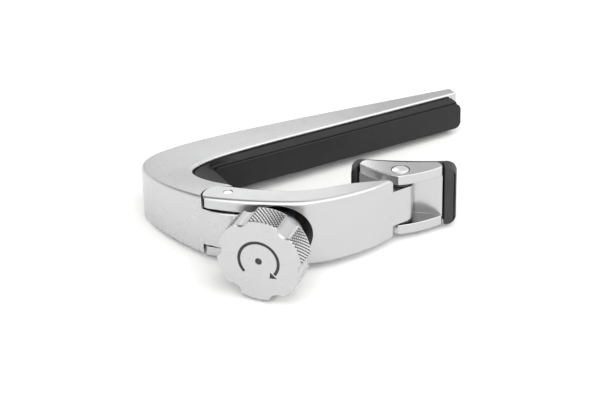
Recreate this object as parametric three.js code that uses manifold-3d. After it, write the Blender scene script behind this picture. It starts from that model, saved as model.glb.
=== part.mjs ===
// Guitar capo with a micrometer screw: a J-shaped frame that carries the string pad, a lever
// hinged on the frame, and a self-aligning clamp head on the end of the lever. Turning the knob
// drives a screw through the frame's tongue, which pushes the lever and closes the throat.
//
// Millimetres, +Z up. The origin is on the string pad's face near its centre: X runs along the pad
// towards the free tip of the arm, and the throat of the capo is on the -Y side of the face.
// The object is symmetric about the plane Z = 0.
import * as THREE from 'three';
import { mergeVertices } from 'three/addons/utils/BufferGeometryUtils.js';
import Module from 'manifold-3d';

const wasm = await Module();
wasm.setup();

// ---------------------------------------------------------------- driving dimensions

const PAD_START_X = -31.1;
const PAD_END_X = 33;
const PAD_HALF_HEIGHT = 3.15;
const PAD_FACE_THICKNESS = 0.5;        // depth of the string pad's visible front tier
const PAD_CORNER = 1.6;
const CARRIER_FRONT = 0.7;             // front plane of the pad carrier
const THROAT_STOP_X = -31.4;           // flat end of the throat, beside the hinge

const ROOT_HALF_HEIGHT = 7.0;          // frame half height at the hinge
const TIP_HALF_HEIGHT = 4.05;          // and what it tends to along the arm
const TAPER_LENGTH = 37;
const OUTER_FILLET = 0.85;            // at the hinge; it fades to about half that at the tip
const INNER_FILLET = 0.5;
const ARM_END_X = 33.4;

const PIVOT = new THREE.Vector2(-36.2, -17.35);      // lever pin
const HEAD_PIVOT = new THREE.Vector2(0, -27.25);     // clamp head pin
const SCREW_ARM = 11.8;                // distance from the lever pin to the screw's axis
const SCREW_ANGLE = THREE.MathUtils.degToRad(41.6);  // the way the screw advances, from +X
const HEAD_ANGLE = THREE.MathUtils.degToRad(-34.6);    // clamp head at rest

const TONGUE_HALF_HEIGHT = 4.25;
const EAR_GAP = 0.4;                   // between the tongue and each ear of the lever
const PIN_RADIUS = 1.0;
const FIT = 0.15;                      // running clearance on radii
const BUSH_RADIUS = 1.65;

const LEVER_ROOT_HALF_HEIGHT = 7.0;
const LEVER_SWELL = 0.6;               // extra half height midway along the lever
const LEVER_FILLET = 0.9;

// Along the screw's axis, from the foot of the perpendicular dropped from the lever pin.
const TONGUE_BOW_LENGTH = 5.8;          // guessed run-out of the frame's wall on to the tongue
const TONGUE_FACE = -4.0;
const BOSS_FACE = -1.4;
const BOSS_RADIUS = 5.6;
const SCOOP_RADIUS = 6.8;
const SCOOP_FLOOR = 1.3;
const ANVIL_RADIUS = 3.3;              // raised seat of the thrust plate inside the scoop
const ANVIL_FACE = -0.1;
const PLATE_FACE = 0.0;
const TIP_FACE = -0.3;
const KNOB_BACK = -7.1;
const KNOB_FACE = -13.5;
const KNOB_RADIUS = 9.4;
const KNOB_FLUTES = 6;
const FLUTE_PHASE = THREE.MathUtils.degToRad(-7);
const SCREW_RADIUS = 2.4;
const BUSHING_RADIUS = 3.4;

const EAR_INNER = 4.85;                // clamp head's ears, from the mid-plane
const HEAD_HALF_HEIGHT = 7.15;
const HEAD_HALF_WIDTH = 8.95;
const HEAD_PIN_RADIUS = 1.25;
const HEAD_PIN_CAP_RADIUS = 1.85;
const BARREL_RADIUS = 2.85;
const BARREL_HALF_HEIGHT = 4.1;
const HEAD_PAD_HALF_LENGTH = 11.37;
const HEAD_PAD_HALF_HEIGHT = 7.0;
const HEAD_PAD_LIP = 1.6;
const HEAD_PAD_WIDE_LIP = 2.6;         // the lip on the free side reaches in to the cradle's edge
const HEAD_PAD_OFFSET = 0.63;          // the cushion sits a little off centre in its cradle
const HEAD_PAD_DROP = 0.4;             // and a little low
const HEAD_PAD_TILT = THREE.MathUtils.degToRad(1.2);

// ---------------------------------------------------------------- geometry helpers

const v2 = (x, y) => new THREE.Vector2(x, y);

function toManifold(geometry) {
  const bare = geometry.clone();
  bare.deleteAttribute('normal');
  bare.deleteAttribute('uv');
  const merged = mergeVertices(bare, 1e-4);
  const positions = new Float32Array(merged.attributes.position.array);
  const triangles = new Uint32Array(merged.index.array);
  if (signedVolume(positions, triangles) < 0) {
    for (let i = 0; i < triangles.length; i += 3) {
      [triangles[i + 1], triangles[i + 2]] = [triangles[i + 2], triangles[i + 1]];
    }
  }
  return new wasm.Manifold(new wasm.Mesh({ numProp: 3, vertProperties: positions, triVerts: triangles }));
}

function signedVolume(positions, triangles) {
  const corner = (i) => new THREE.Vector3().fromArray(positions, 3 * triangles[i]);
  let total = 0;
  for (let i = 0; i < triangles.length; i += 3) {
    total += corner(i).dot(corner(i + 1).cross(corner(i + 2)));
  }
  return total / 6;
}

function toGeometry(manifold) {
  const mesh = manifold.getMesh();
  const geometry = new THREE.BufferGeometry();
  geometry.setAttribute('position', new THREE.BufferAttribute(new Float32Array(mesh.vertProperties), 3));
  geometry.setIndex(new THREE.BufferAttribute(new Uint32Array(mesh.triVerts), 1));
  geometry.computeVertexNormals();
  return geometry;
}

// A prism of a plan outline between two heights.
function prism(shape, low, high, curveSegments = 12) {
  const geometry = new THREE.ExtrudeGeometry(shape, { depth: high - low, bevelEnabled: false, curveSegments });
  geometry.translate(0, 0, low);
  return toManifold(geometry);
}

// The same with rounded top and bottom edges that stay inside the outline.
function softPrism(shape, low, high, round, curveSegments = 12) {
  const geometry = new THREE.ExtrudeGeometry(shape, {
    depth: high - low - 2 * round, bevelEnabled: true, bevelThickness: round, bevelSize: round,
    bevelOffset: -round, bevelSegments: 2, curveSegments,
  });
  geometry.translate(0, 0, low + round);
  return toManifold(geometry);
}

// A turned solid about Z: pairs of radius and height, closed on the axis or on itself.
function turned(profile, segments = 32) {
  const points = profile.map(([radius, height]) => v2(radius, height));
  const geometry = new THREE.LatheGeometry(points, segments);
  geometry.rotateX(Math.PI / 2);
  return toManifold(geometry);
}

function disc(radius, low, high, segments = 24) {
  return turned([[0, low], [radius, low], [radius, high], [0, high]], segments);
}

function ring(inner, outer, low, high, segments = 24) {
  return turned([[inner, low], [outer, low], [outer, high], [inner, high], [inner, low]], segments);
}

function moved(manifold, x, y, z = 0) {
  const geometry = toGeometry(manifold);
  geometry.translate(x, y, z);
  return toManifold(geometry);
}

// From a frame whose +Z is the screw's advance and whose origin is the foot of the perpendicular.
function onScrewAxis(manifold) {
  const geometry = toGeometry(manifold);
  geometry.rotateY(Math.PI / 2);
  geometry.rotateZ(SCREW_ANGLE);
  geometry.translate(screwFoot.x, screwFoot.y, 0);
  return toManifold(geometry);
}

const advance = v2(Math.cos(SCREW_ANGLE), Math.sin(SCREW_ANGLE));
const across = v2(Math.sin(SCREW_ANGLE), -Math.cos(SCREW_ANGLE));
const screwFoot = PIVOT.clone().addScaledVector(across, SCREW_ARM);

// A plan point given across the screw (from its axis, away from the lever pin) and along it.
function atScrew(acrossDistance, alongDistance) {
  return screwFoot.clone().addScaledVector(across, acrossDistance).addScaledVector(advance, alongDistance);
}

function polygon(points) {
  return new THREE.Shape(points);
}

function bezierChain(start, segments) {
  const path = new THREE.Path();
  path.moveTo(start.x, start.y);
  for (const [c1, c2, end] of segments) path.bezierCurveTo(c1.x, c1.y, c2.x, c2.y, end.x, end.y);
  return path;
}

function roundedBar(halfX, halfY, radius) {
  const shape = new THREE.Shape();
  shape.moveTo(-halfX + radius, -halfY);
  shape.lineTo(halfX - radius, -halfY);
  shape.absarc(halfX - radius, -halfY + radius, radius, -Math.PI / 2, 0);
  shape.lineTo(halfX, halfY - radius);
  shape.absarc(halfX - radius, halfY - radius, radius, 0, Math.PI / 2);
  shape.lineTo(-halfX + radius, halfY);
  shape.absarc(-halfX + radius, halfY - radius, radius, Math.PI / 2, Math.PI);
  shape.lineTo(-halfX, -halfY + radius);
  shape.absarc(-halfX + radius, -halfY + radius, radius, Math.PI, 1.5 * Math.PI);
  return shape;
}

// One closed section between an outer and an inner plan point, with filleted corners.
function section(outer, inner, halfHeight, outerFillet, innerFillet) {
  const steps = 2;
  const width = outer.distanceTo(inner);
  const toInner = inner.clone().sub(outer).divideScalar(width);
  const corners = [
    [outerFillet, halfHeight - outerFillet, outerFillet, Math.PI, Math.PI / 2],
    [width - innerFillet, halfHeight - innerFillet, innerFillet, Math.PI / 2, 0],
    [width - innerFillet, -halfHeight + innerFillet, innerFillet, 0, -Math.PI / 2],
    [outerFillet, -halfHeight + outerFillet, outerFillet, -Math.PI / 2, -Math.PI],
  ];
  const points = [];
  for (const [along, height, radius, from, to] of corners) {
    for (let i = 0; i <= steps; i += 1) {
      const angle = from + (to - from) * i / steps;
      const place = outer.clone().addScaledVector(toInner, along + radius * Math.cos(angle));
      points.push(new THREE.Vector3(place.x, place.y, height + radius * Math.sin(angle)));
    }
  }
  return points;
}

// A closed skin over a row of sections that all have the same number of points.
function loft(sections) {
  const count = sections[0].length;
  const positions = sections.flat().flatMap((point) => point.toArray());
  const triangles = [];
  for (let row = 0; row + 1 < sections.length; row += 1) {
    for (let i = 0; i < count; i += 1) {
      const next = (i + 1) % count;
      const a = row * count + i;
      const b = row * count + next;
      triangles.push(a, b, b + count, a, b + count, a + count);
    }
  }
  const last = (sections.length - 1) * count;
  for (let i = 1; i + 1 < count; i += 1) {
    triangles.push(0, i + 1, i);
    triangles.push(last, last + i, last + i + 1);
  }
  const geometry = new THREE.BufferGeometry();
  geometry.setAttribute('position', new THREE.Float32BufferAttribute(positions, 3));
  geometry.setIndex(triangles);
  return toManifold(geometry);
}

// Pairs of outer and inner points with the outer arc length, evenly spaced on each segment.
function pairedStations(outerPath, innerPath, stepsPerSegment) {
  const stations = [];
  let length = 0;
  outerPath.curves.forEach((outerCurve, index) => {
    const innerCurve = innerPath.curves[index];
    const steps = stepsPerSegment[index];
    for (let i = index === 0 ? 0 : 1; i <= steps; i += 1) {
      const outer = outerCurve.getPoint(i / steps);
      const inner = innerCurve.getPoint(i / steps);
      if (stations.length > 0) length += outer.distanceTo(stations[stations.length - 1].outer);
      stations.push({ outer, inner, length });
    }
  });
  return stations;
}

// ---------------------------------------------------------------- frame

const frameOuter = bezierChain(v2(-41.2, -17.8), [
  [v2(-43.9, -12.4), v2(-46.75, -5.6), v2(-46.85, 0.75)],
  [v2(-47.0, 6.9), v2(-43.0, 9.75), v2(-36.65, 10.55)],
  [v2(-26, 12.9), v2(5, 9.8), v2(ARM_END_X, 6.47)],
]);
const frameInner = bezierChain(v2(-33.9, -14.9), [
  [v2(-35.6, -11.6), v2(-37.8, -8.2), v2(-37.8, -4.4)],
  [v2(-37.8, -1.3), v2(-35.2, 0.25), v2(-31.4, 1.2)],
  [v2(-24.5, 3.5), v2(4, 3.55), v2(ARM_END_X, 3.5)],
]);
const HINGE_OVERLAP = 2;               // stretch of the frame's curves beyond its hinge step

function frameHalfHeight(length) {
  const beyond = Math.max(0, length - HINGE_OVERLAP);
  return TIP_HALF_HEIGHT + (ROOT_HALF_HEIGHT - TIP_HALF_HEIGHT) * Math.exp(-beyond / TAPER_LENGTH);
}

function frameFillet(length) {
  return OUTER_FILLET * (0.45 + 0.55 * Math.exp(-length / TAPER_LENGTH));
}

const frameStations = pairedStations(frameOuter, frameInner, [8, 12, 11]);

function armBody() {
  const sections = frameStations.map(({ outer, inner, length }) => (
    section(outer, inner, frameHalfHeight(length), frameFillet(length), INNER_FILLET)));
  const { outer, inner, length } = frameStations[frameStations.length - 1];
  const round = 0.8;
  const across2 = inner.clone().sub(outer).normalize();
  for (const angle of [30, 60, 85].map(THREE.MathUtils.degToRad)) {
    const forward = v2(round * Math.sin(angle), 0);
    const inset = round * (1 - Math.cos(angle));
    sections.push(section(
      outer.clone().add(forward).addScaledVector(across2, inset),
      inner.clone().add(forward).addScaledVector(across2, -inset),
      frameHalfHeight(length) - inset, frameFillet(length), INNER_FILLET));
  }
  return loft(sections);
}

// Plan outline of each lever ear round the pin, grown by a clearance all round.
function noseOutline(clearance) {
  const grow = (point) => point.add(point.clone().sub(PIVOT).setLength(clearance));
  const nose = [v2(-30, -27.4), v2(-36.9, -22), v2(-40.4, -18.4), v2(-41.5, -16.8), v2(-41.1, -15.3),
    v2(-40.2, -14.35), v2(-39.2, -13.75), v2(-38, -13.65), v2(-36.4, -14.2), v2(-34.85, -15.5), v2(-30, -20.5)];
  return new THREE.Shape(new THREE.CatmullRomCurve3(
    nose.map(grow).map((point) => new THREE.Vector3(point.x, point.y, 0)), false, 'centripetal')
    .getPoints(20).map((point) => v2(point.x, point.y)));
}

// The tongue's outer wall leaves the end of the frame's wall along its tangent and settles on
// the flat face of the tongue in a shallow bow, so the two walls read as one.
function tongueWall() {
  const end = frameOuter.getPoint(0).sub(screwFoot);
  const tangent = frameOuter.getTangent(0);
  const slope = tangent.dot(advance) / tangent.dot(across);
  const points = [];
  for (let i = 0; i <= 8; i += 1) {
    const share = i / 8;
    const run = TONGUE_BOW_LENGTH * share;
    const settled = THREE.MathUtils.lerp(end.dot(advance), TONGUE_FACE, share);
    points.push(atScrew(end.dot(across) + run, settled + slope * run * (1 - share)));
  }
  return points;
}

function tongueBody() {
  const knuckle = 3.4;
  const outline = [atScrew(-17.5, -1.5), atScrew(-15.2, -3.6), ...tongueWall(),
    atScrew(0, TONGUE_FACE), atScrew(0, BOSS_FACE), atScrew(-7.9, BOSS_FACE), atScrew(-8.4, -0.3)];
  for (let i = 0; i <= 8; i += 1) {
    const angle = THREE.MathUtils.lerp(0, THREE.MathUtils.degToRad(98), i / 8);
    outline.push(atScrew(-SCREW_ARM + knuckle * Math.cos(angle), knuckle * Math.sin(angle)));
  }
  outline.push(atScrew(-13.6, 3.9), atScrew(-18.2, 3.9));
  const plate = softPrism(polygon(outline), -TONGUE_HALF_HEIGHT, TONGUE_HALF_HEIGHT, 0.3);
  const boss = onScrewAxis(turned([[0, TONGUE_FACE], [BOSS_RADIUS - 0.4, TONGUE_FACE],
    [BOSS_RADIUS, TONGUE_FACE + 0.4], [BOSS_RADIUS, BOSS_FACE], [0, BOSS_FACE]], 36));
  return plate.add(boss);
}

const SPRING_POCKET_HALF_HEIGHT = 1.7;
const SPRING_POCKET_RADIUS = 2.7;
const STUD_RADIUS = 1.2;
const STUD_PLACES = [-24, 0, 22];
const WASHER_RADIUS = 2.6;

function frameSolid() {
  const overall = ROOT_HALF_HEIGHT + 2;
  const earRoom = prism(noseOutline(0.45), TONGUE_HALF_HEIGHT, overall);
  let body = armBody().subtract(earRoom).subtract(flipped(earRoom, -1)).add(tongueBody());
  body = body.subtract(moved(disc(BUSH_RADIUS + FIT, -overall, overall), PIVOT.x, PIVOT.y));
  body = body.subtract(springPocket());
  for (const side of [-1, 1]) {
    const low = TONGUE_HALF_HEIGHT - EAR_GAP;
    const spot = disc(WASHER_RADIUS + 0.3, low, TONGUE_HALF_HEIGHT + 1);
    body = body.subtract(moved(flipped(spot, side), PIVOT.x, PIVOT.y));
  }
  body = body.subtract(onScrewAxis(disc(BUSHING_RADIUS + FIT, TONGUE_FACE - 3, BOSS_FACE + 3)));
  for (const x of STUD_PLACES) {
    body = body.subtract(studAlongY(x, STUD_RADIUS + FIT, 2, studDepth(x) + 0.3));
  }
  return body;
}

function flipped(manifold, side) {
  if (side > 0) return manifold;
  const geometry = toGeometry(manifold);
  geometry.scale(1, 1, -1);
  return toManifold(geometry);
}

function studDepth(x) {
  return x < -10 ? 5.6 : 5.2;
}

// A round stud or hole that runs along Y between two depths behind the pad's face.
function studAlongY(x, radius, from, to) {
  const geometry = toGeometry(disc(radius, from, to, 20));
  geometry.rotateX(-Math.PI / 2);
  geometry.translate(x, 0, 0);
  return toManifold(geometry);
}

// Room for the return spring round the pin, open towards the throat.
function springPocket() {
  const coil = moved(disc(SPRING_POCKET_RADIUS, -SPRING_POCKET_HALF_HEIGHT, SPRING_POCKET_HALF_HEIGHT),
    PIVOT.x, PIVOT.y);
  const mouth = polygon([atScrew(-13.9, 0), atScrew(-9.4, 0), atScrew(-7, 4.6), atScrew(-15.2, 7), atScrew(-15.6, 3)]);
  return coil.add(prism(mouth, -SPRING_POCKET_HALF_HEIGHT, SPRING_POCKET_HALF_HEIGHT));
}

// ---------------------------------------------------------------- string pad and its carrier

const CARRIER_GAP = 0.3;
const CARRIER_BELOW_FRAME = 0.65;      // how far the carrier's faces lie under the frame's
const CARRIER_END_X = PAD_END_X - 0.7;
const CHANNEL_HALF_HEIGHT = 1.8;
const CHANNEL_DEPTH = 2.2;
const CHANNEL_START_X = -19;
const CHANNEL_END_X = 30;

// The carrier fills the inside corner of the frame and lines the arm as far as its tip.
function carrierSolid() {
  const sections = frameStations.slice(3).map(({ outer, inner, length }) => {
    const back = inner.clone().add(inner.clone().sub(outer).setLength(CARRIER_GAP));
    back.x = Math.min(back.x, CARRIER_END_X);
    const halfHeight = frameHalfHeight(length) - CARRIER_BELOW_FRAME;
    return wedgeSection(back, frontOfCarrier(back), halfHeight, PAD_HALF_HEIGHT + 0.35);
  });
  return loft(sections);
}

// The carrier's front line: the throat stop, then the plane behind the string pad.
function frontOfCarrier(back) {
  const along = Math.max(back.x, THROAT_STOP_X);
  const down = THREE.MathUtils.clamp(back.y, -11.4, CARRIER_FRONT);
  return v2(along, back.x < THROAT_STOP_X ? Math.min(down, CARRIER_FRONT) : CARRIER_FRONT);
}

// A section that is taller at the back than at the front, with small soft corners.
function wedgeSection(back, front, backHalf, frontHalf) {
  const soft = 0.3;
  const toFront = front.clone().sub(back);
  const width = toFront.length();
  toFront.divideScalar(width);
  const frontHeight = Math.min(frontHalf, backHalf);
  const upper = [[0, backHalf - soft], [soft, backHalf], [width - soft, frontHeight], [width, frontHeight - soft]];
  const lower = upper.map(([along, height]) => [along, -height]).reverse();
  return [...upper, ...lower].map(([along, height]) => {
    const place = back.clone().addScaledVector(toFront, along);
    return new THREE.Vector3(place.x, place.y, height);
  });
}

function withChannelAndStuds(carrier) {
  const channel = boxAt(CHANNEL_START_X, CHANNEL_END_X, CARRIER_FRONT - 1, CHANNEL_DEPTH, -CHANNEL_HALF_HEIGHT, CHANNEL_HALF_HEIGHT);
  let body = carrier.subtract(channel);
  for (const x of STUD_PLACES) {
    const root = x < CHANNEL_START_X ? CARRIER_FRONT + 0.4 : CHANNEL_DEPTH + 0.2;
    body = body.add(studAlongY(x, STUD_RADIUS, root, studDepth(x)));
  }
  return body;
}

function boxAt(x0, x1, y0, y1, z0, z1) {
  const geometry = new THREE.BoxGeometry(x1 - x0, y1 - y0, z1 - z0);
  geometry.translate((x0 + x1) / 2, (y0 + y1) / 2, (z0 + z1) / 2);
  return toManifold(geometry);
}

// The string pad: a thin round-cornered face with a rib that sits in the carrier's channel.
function stringPadSolid() {
  const halfLength = (PAD_END_X - PAD_START_X) / 2;
  const face = softPrism(roundedBar(halfLength, PAD_HALF_HEIGHT, PAD_CORNER), 0, PAD_FACE_THICKNESS, 0.12, 4);
  const geometry = toGeometry(face);
  geometry.rotateX(-Math.PI / 2);
  geometry.translate((PAD_START_X + PAD_END_X) / 2, 0, 0);
  const rib = CHANNEL_HALF_HEIGHT - 0.3;
  return toManifold(geometry).add(
    boxAt(CHANNEL_START_X + 0.3, CHANNEL_END_X - 0.3, 0.2, CHANNEL_DEPTH - 0.3, -rib, rib));
}

// ---------------------------------------------------------------- lever

const leverOuter = bezierChain(v2(-43.2, -15.1), [
  [v2(-38.6, -20.9), v2(-31.5, -27.0), v2(-25.6, -30.05)],
  [v2(-21.3, -32.25), v2(-14.5, -32.4), v2(-9.5, -31.85)],
  [v2(-6.3, -31.5), v2(-3.2, -30.1), v2(0.3, -30.1)],
]);
const leverInner = bezierChain(v2(-37.2, -12.2), [
  [v2(-33.5, -17.0), v2(-28.5, -22.6), v2(-23.2, -25.0)],
  [v2(-20.0, -26.4), v2(-16.0, -27.0), v2(-12.3, -27.2)],
  [v2(-9.0, -27.4), v2(-4.0, -24.4), v2(0.3, -24.4)],
]);

function leverBlank() {
  const stations = pairedStations(leverOuter, leverInner, [10, 8, 6]);
  const total = stations[stations.length - 1].length;
  return loft(stations.map(({ outer, inner, length }) => {
    const halfHeight = LEVER_ROOT_HALF_HEIGHT + LEVER_SWELL * Math.sin(Math.PI * length / total);
    return section(outer, inner, halfHeight, LEVER_FILLET, INNER_FILLET);
  }));
}

// Everything of the lever's blank that lies beyond the ears' nose.
function noseTrim() {
  const far = boxAt(-60, -30.2, -40, 0, -12, 12);
  return far.subtract(prism(noseOutline(0), -13, 13));
}

// Above and below the lever's tip the clamp head's ears swing, so the full height stops short.
function tipTrim(side) {
  const shape = new THREE.Shape();
  shape.moveTo(-15.5, -27.0);
  shape.bezierCurveTo(-11.5, -27.7, -6.9, -29.2, -3.4, -30.8);
  shape.lineTo(-3.1, -34);
  shape.lineTo(6, -34);
  shape.lineTo(6, -20);
  shape.lineTo(-15.5, -20);
  return flipped(prism(shape, BARREL_HALF_HEIGHT, 12, 10), side);
}

function leverSolid() {
  const slot = TONGUE_HALF_HEIGHT + EAR_GAP;
  let body = leverBlank().subtract(noseTrim());
  const clear = [atScrew(-30, -14), atScrew(0, -14), atScrew(0, ANVIL_FACE), atScrew(-7.7, ANVIL_FACE),
    atScrew(-7.7, 8), atScrew(-30, 8)];
  body = body.subtract(prism(polygon(clear), -slot, slot));
  body = body.subtract(moved(disc(4.0, -slot, slot), PIVOT.x, PIVOT.y));
  body = body.subtract(onScrewAxis(disc(SCOOP_RADIUS, -14, ANVIL_FACE, 48)));
  body = body.subtract(onScrewAxis(ring(ANVIL_RADIUS, SCOOP_RADIUS, ANVIL_FACE - 1, SCOOP_FLOOR, 48)));
  body = body.subtract(onScrewAxis(disc(2.5, ANVIL_FACE - 1, PLATE_FACE + 1.1, 28)));
  body = body.subtract(tipTrim(1)).subtract(tipTrim(-1));
  body = body.add(moved(disc(BARREL_RADIUS, -BARREL_HALF_HEIGHT, BARREL_HALF_HEIGHT, 40), HEAD_PIVOT.x, HEAD_PIVOT.y));
  body = body.subtract(moved(disc(PIN_RADIUS + FIT, -12, 12), PIVOT.x, PIVOT.y));
  body = body.subtract(moved(disc(HEAD_BUSH_RADIUS + FIT, -12, 12), HEAD_PIVOT.x, HEAD_PIVOT.y));
  return body.subtract(springGroove());
}

// A shallow groove on the throat side of the lever for the spring's leg.
function springGroove() {
  const outline = [atScrew(-9, 1.2), atScrew(-2.2, 3.0), atScrew(-2.2, 8), atScrew(-9, 8)];
  return prism(polygon(outline), -SPRING_POCKET_HALF_HEIGHT, SPRING_POCKET_HALF_HEIGHT);
}

const HEAD_BUSH_RADIUS = 1.8;

// ---------------------------------------------------------------- return spring

const WIRE_RADIUS = 0.38;

class SpringPath extends THREE.Curve {
  constructor() {
    super();
    this.coilRadius = 1.78;
    this.turns = 3;
    this.pitch = 0.84;
    this.start = THREE.MathUtils.degToRad(20.5);
    this.swing = THREE.MathUtils.degToRad(-360 * this.turns + 31);
    this.coilLength = Math.abs(this.swing) * this.coilRadius;
    this.legA = 3.9;
    this.legB = 6.4;
    this.total = this.legA + this.coilLength + this.legB;
  }

  onCoil(fraction) {
    const angle = this.start + this.swing * fraction;
    const rise = this.pitch * Math.abs(this.swing) / (2 * Math.PI);
    return new THREE.Vector3(PIVOT.x + this.coilRadius * Math.cos(angle),
      PIVOT.y + this.coilRadius * Math.sin(angle), rise * (0.5 - fraction));
  }

  getPoint(t, target = new THREE.Vector3()) {
    const along = t * this.total;
    const nudge = 1e-3;
    if (along < this.legA) {
      const back = this.onCoil(0).sub(this.onCoil(nudge)).setZ(0).setLength(this.legA - along);
      return target.copy(this.onCoil(0)).add(back);
    }
    if (along > this.legA + this.coilLength) {
      const forward = this.onCoil(1).sub(this.onCoil(1 - nudge)).setZ(0);
      return target.copy(this.onCoil(1)).add(forward.setLength(along - this.legA - this.coilLength));
    }
    return target.copy(this.onCoil((along - this.legA) / this.coilLength));
  }
}

function springSolid() {
  const wire = new THREE.Shape();
  wire.absarc(0, 0, WIRE_RADIUS, 0, 2 * Math.PI);
  return toManifold(new THREE.ExtrudeGeometry(wire, { steps: 72, curveSegments: 3, extrudePath: new SpringPath() }));
}

// ---------------------------------------------------------------- screw and knob

function knobSolid() {
  const edge = 0.45;
  let body = turned([[0, KNOB_FACE], [KNOB_RADIUS - edge, KNOB_FACE], [KNOB_RADIUS, KNOB_FACE + edge],
    [KNOB_RADIUS, KNOB_BACK - edge], [KNOB_RADIUS - edge, KNOB_BACK], [0, KNOB_BACK]], 60);
  const fluteRadius = 2.3;
  const fluteCentre = KNOB_RADIUS + 1.35;
  for (let i = 0; i < KNOB_FLUTES; i += 1) {
    const angle = FLUTE_PHASE + 2 * Math.PI * i / KNOB_FLUTES;
    // Angles run from the across direction towards +Z.
    const flute = moved(disc(fluteRadius, KNOB_FACE - 1, KNOB_BACK + 1, 24),
      -fluteCentre * Math.sin(angle), -fluteCentre * Math.cos(angle));
    body = body.subtract(flute);
  }
  body = body.subtract(disc(SCREW_RADIUS + FIT, KNOB_BACK - 4.6, KNOB_BACK + 1));
  return onScrewAxis(body);
}

const SCREW_END = -1.75;

function screwSolid() {
  const bore = 1.15;
  return onScrewAxis(turned([[0, KNOB_BACK - 4.3], [SCREW_RADIUS - 0.3, KNOB_BACK - 4.3],
    [SCREW_RADIUS, KNOB_BACK - 4.0], [SCREW_RADIUS, SCREW_END - 0.3], [SCREW_RADIUS - 0.3, SCREW_END],
    [bore, SCREW_END], [bore, SCREW_END - 3], [0, SCREW_END - 3]], 28));
}

function thrustTipSolid() {
  const dome = 1.75;
  const stem = 0.9;
  return onScrewAxis(turned([[0, SCREW_END - 2.7], [stem, SCREW_END - 2.7], [stem, SCREW_END + 0.25],
    [dome, SCREW_END + 0.25], [dome, TIP_FACE - 0.6], [1.25, TIP_FACE - 0.2], [0.6, TIP_FACE - 0.03],
    [0, TIP_FACE]], 24));
}

const BUSHING_COLLAR = -4.3;

function bushingSolid() {
  const bore = SCREW_RADIUS + FIT;
  const seat = 3.0;
  return onScrewAxis(turned([[bore, BUSHING_COLLAR], [BUSHING_RADIUS, BUSHING_COLLAR],
    [BUSHING_RADIUS, BOSS_FACE], [seat, BOSS_FACE], [seat, BOSS_FACE - 0.9], [bore, BOSS_FACE - 0.9],
    [bore, BUSHING_COLLAR]], 28));
}

function frictionRingSolid() {
  return onScrewAxis(ring(SCREW_RADIUS + 0.1, 2.85, BOSS_FACE - 0.75, BOSS_FACE - 0.1, 24));
}

// ---------------------------------------------------------------- clamp head, in its own frame

// Here X runs along the clamp face, +Y points at the neck, and the origin is the head's pin.

const BACK_DIP = 3.05;                  // pulls the cradle's back edge in at its middle

function earShape() {
  const shape = new THREE.Shape();
  const vertex = -3.1;
  const end = 2.0;
  shape.moveTo(0, vertex);
  shape.quadraticCurveTo(4.9, -1.75, HEAD_HALF_WIDTH, end);
  shape.lineTo(HEAD_HALF_WIDTH - 0.3, 3.2);
  shape.lineTo(HEAD_HALF_WIDTH - 1.25, 4.15);
  shape.quadraticCurveTo(0, BACK_DIP, -HEAD_HALF_WIDTH + 1.25, 4.15);
  shape.lineTo(-HEAD_HALF_WIDTH + 0.3, 3.2);
  shape.lineTo(-HEAD_HALF_WIDTH, end);
  shape.quadraticCurveTo(-4.9, -1.75, 0, vertex);
  return shape;
}

function cradleWallShape() {
  const shape = new THREE.Shape();
  shape.moveTo(HEAD_HALF_WIDTH, 2.0);
  shape.quadraticCurveTo(5.2, 2.9, 3.2, 2.9);
  shape.lineTo(-3.2, 2.9);
  shape.quadraticCurveTo(-5.2, 2.9, -HEAD_HALF_WIDTH, 2.0);
  shape.lineTo(-HEAD_HALF_WIDTH + 0.3, 3.2);
  shape.lineTo(-HEAD_HALF_WIDTH + 1.25, 4.15);
  shape.quadraticCurveTo(0, BACK_DIP, HEAD_HALF_WIDTH - 1.25, 4.15);
  shape.lineTo(HEAD_HALF_WIDTH - 0.3, 3.2);
  return shape;
}

const KEY_HALF_WIDTH = 5.4;
const KEY_HALF_HEIGHT = 4.6;
const KEY_DEPTH = 4.2;
const KEY_FIT = 0.4;

function cradleSolid() {
  let body = prism(cradleWallShape(), -EAR_INNER - 0.2, EAR_INNER + 0.2, 6);
  for (const side of [-1, 1]) {
    body = body.add(flipped(softPrism(earShape(), EAR_INNER, HEAD_HALF_HEIGHT, 0.25, 6), side));
    body = body.subtract(flipped(disc(HEAD_PIN_CAP_RADIUS + 0.2, 6.0, 9), side));
  }
  body = body.add(boxAt(-KEY_HALF_WIDTH, KEY_HALF_WIDTH, 3.2, KEY_DEPTH, -KEY_HALF_HEIGHT, KEY_HALF_HEIGHT));
  return body.subtract(disc(HEAD_PIN_RADIUS + FIT, -9, 9));
}

function headPadShape() {
  const far = HEAD_PAD_HALF_LENGTH;
  const lip = 2.2;
  const shape = new THREE.Shape();
  shape.moveTo(far, lip + 0.5);
  shape.lineTo(far, 5.3);
  shape.quadraticCurveTo(far, 5.9, far - 0.9, 5.85);
  shape.quadraticCurveTo(0, 4.6, -far + 0.9, 5.85);
  shape.quadraticCurveTo(-far, 5.9, -far, 5.3);
  shape.lineTo(-far, lip + 0.5);
  shape.lineTo(-far + 0.4, lip);
  shape.lineTo(-far + HEAD_PAD_LIP, lip);
  shape.lineTo(-far + HEAD_PAD_LIP + 0.1, 3.6);
  shape.lineTo(-far + 2.9, 4.6);
  shape.quadraticCurveTo(0, BACK_DIP + 0.3, far - 2.9, 4.6);
  shape.lineTo(far - HEAD_PAD_WIDE_LIP - 0.1, 3.6);
  shape.lineTo(far - HEAD_PAD_WIDE_LIP, lip);
  shape.lineTo(far - 0.4, lip);
  return shape;
}

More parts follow.
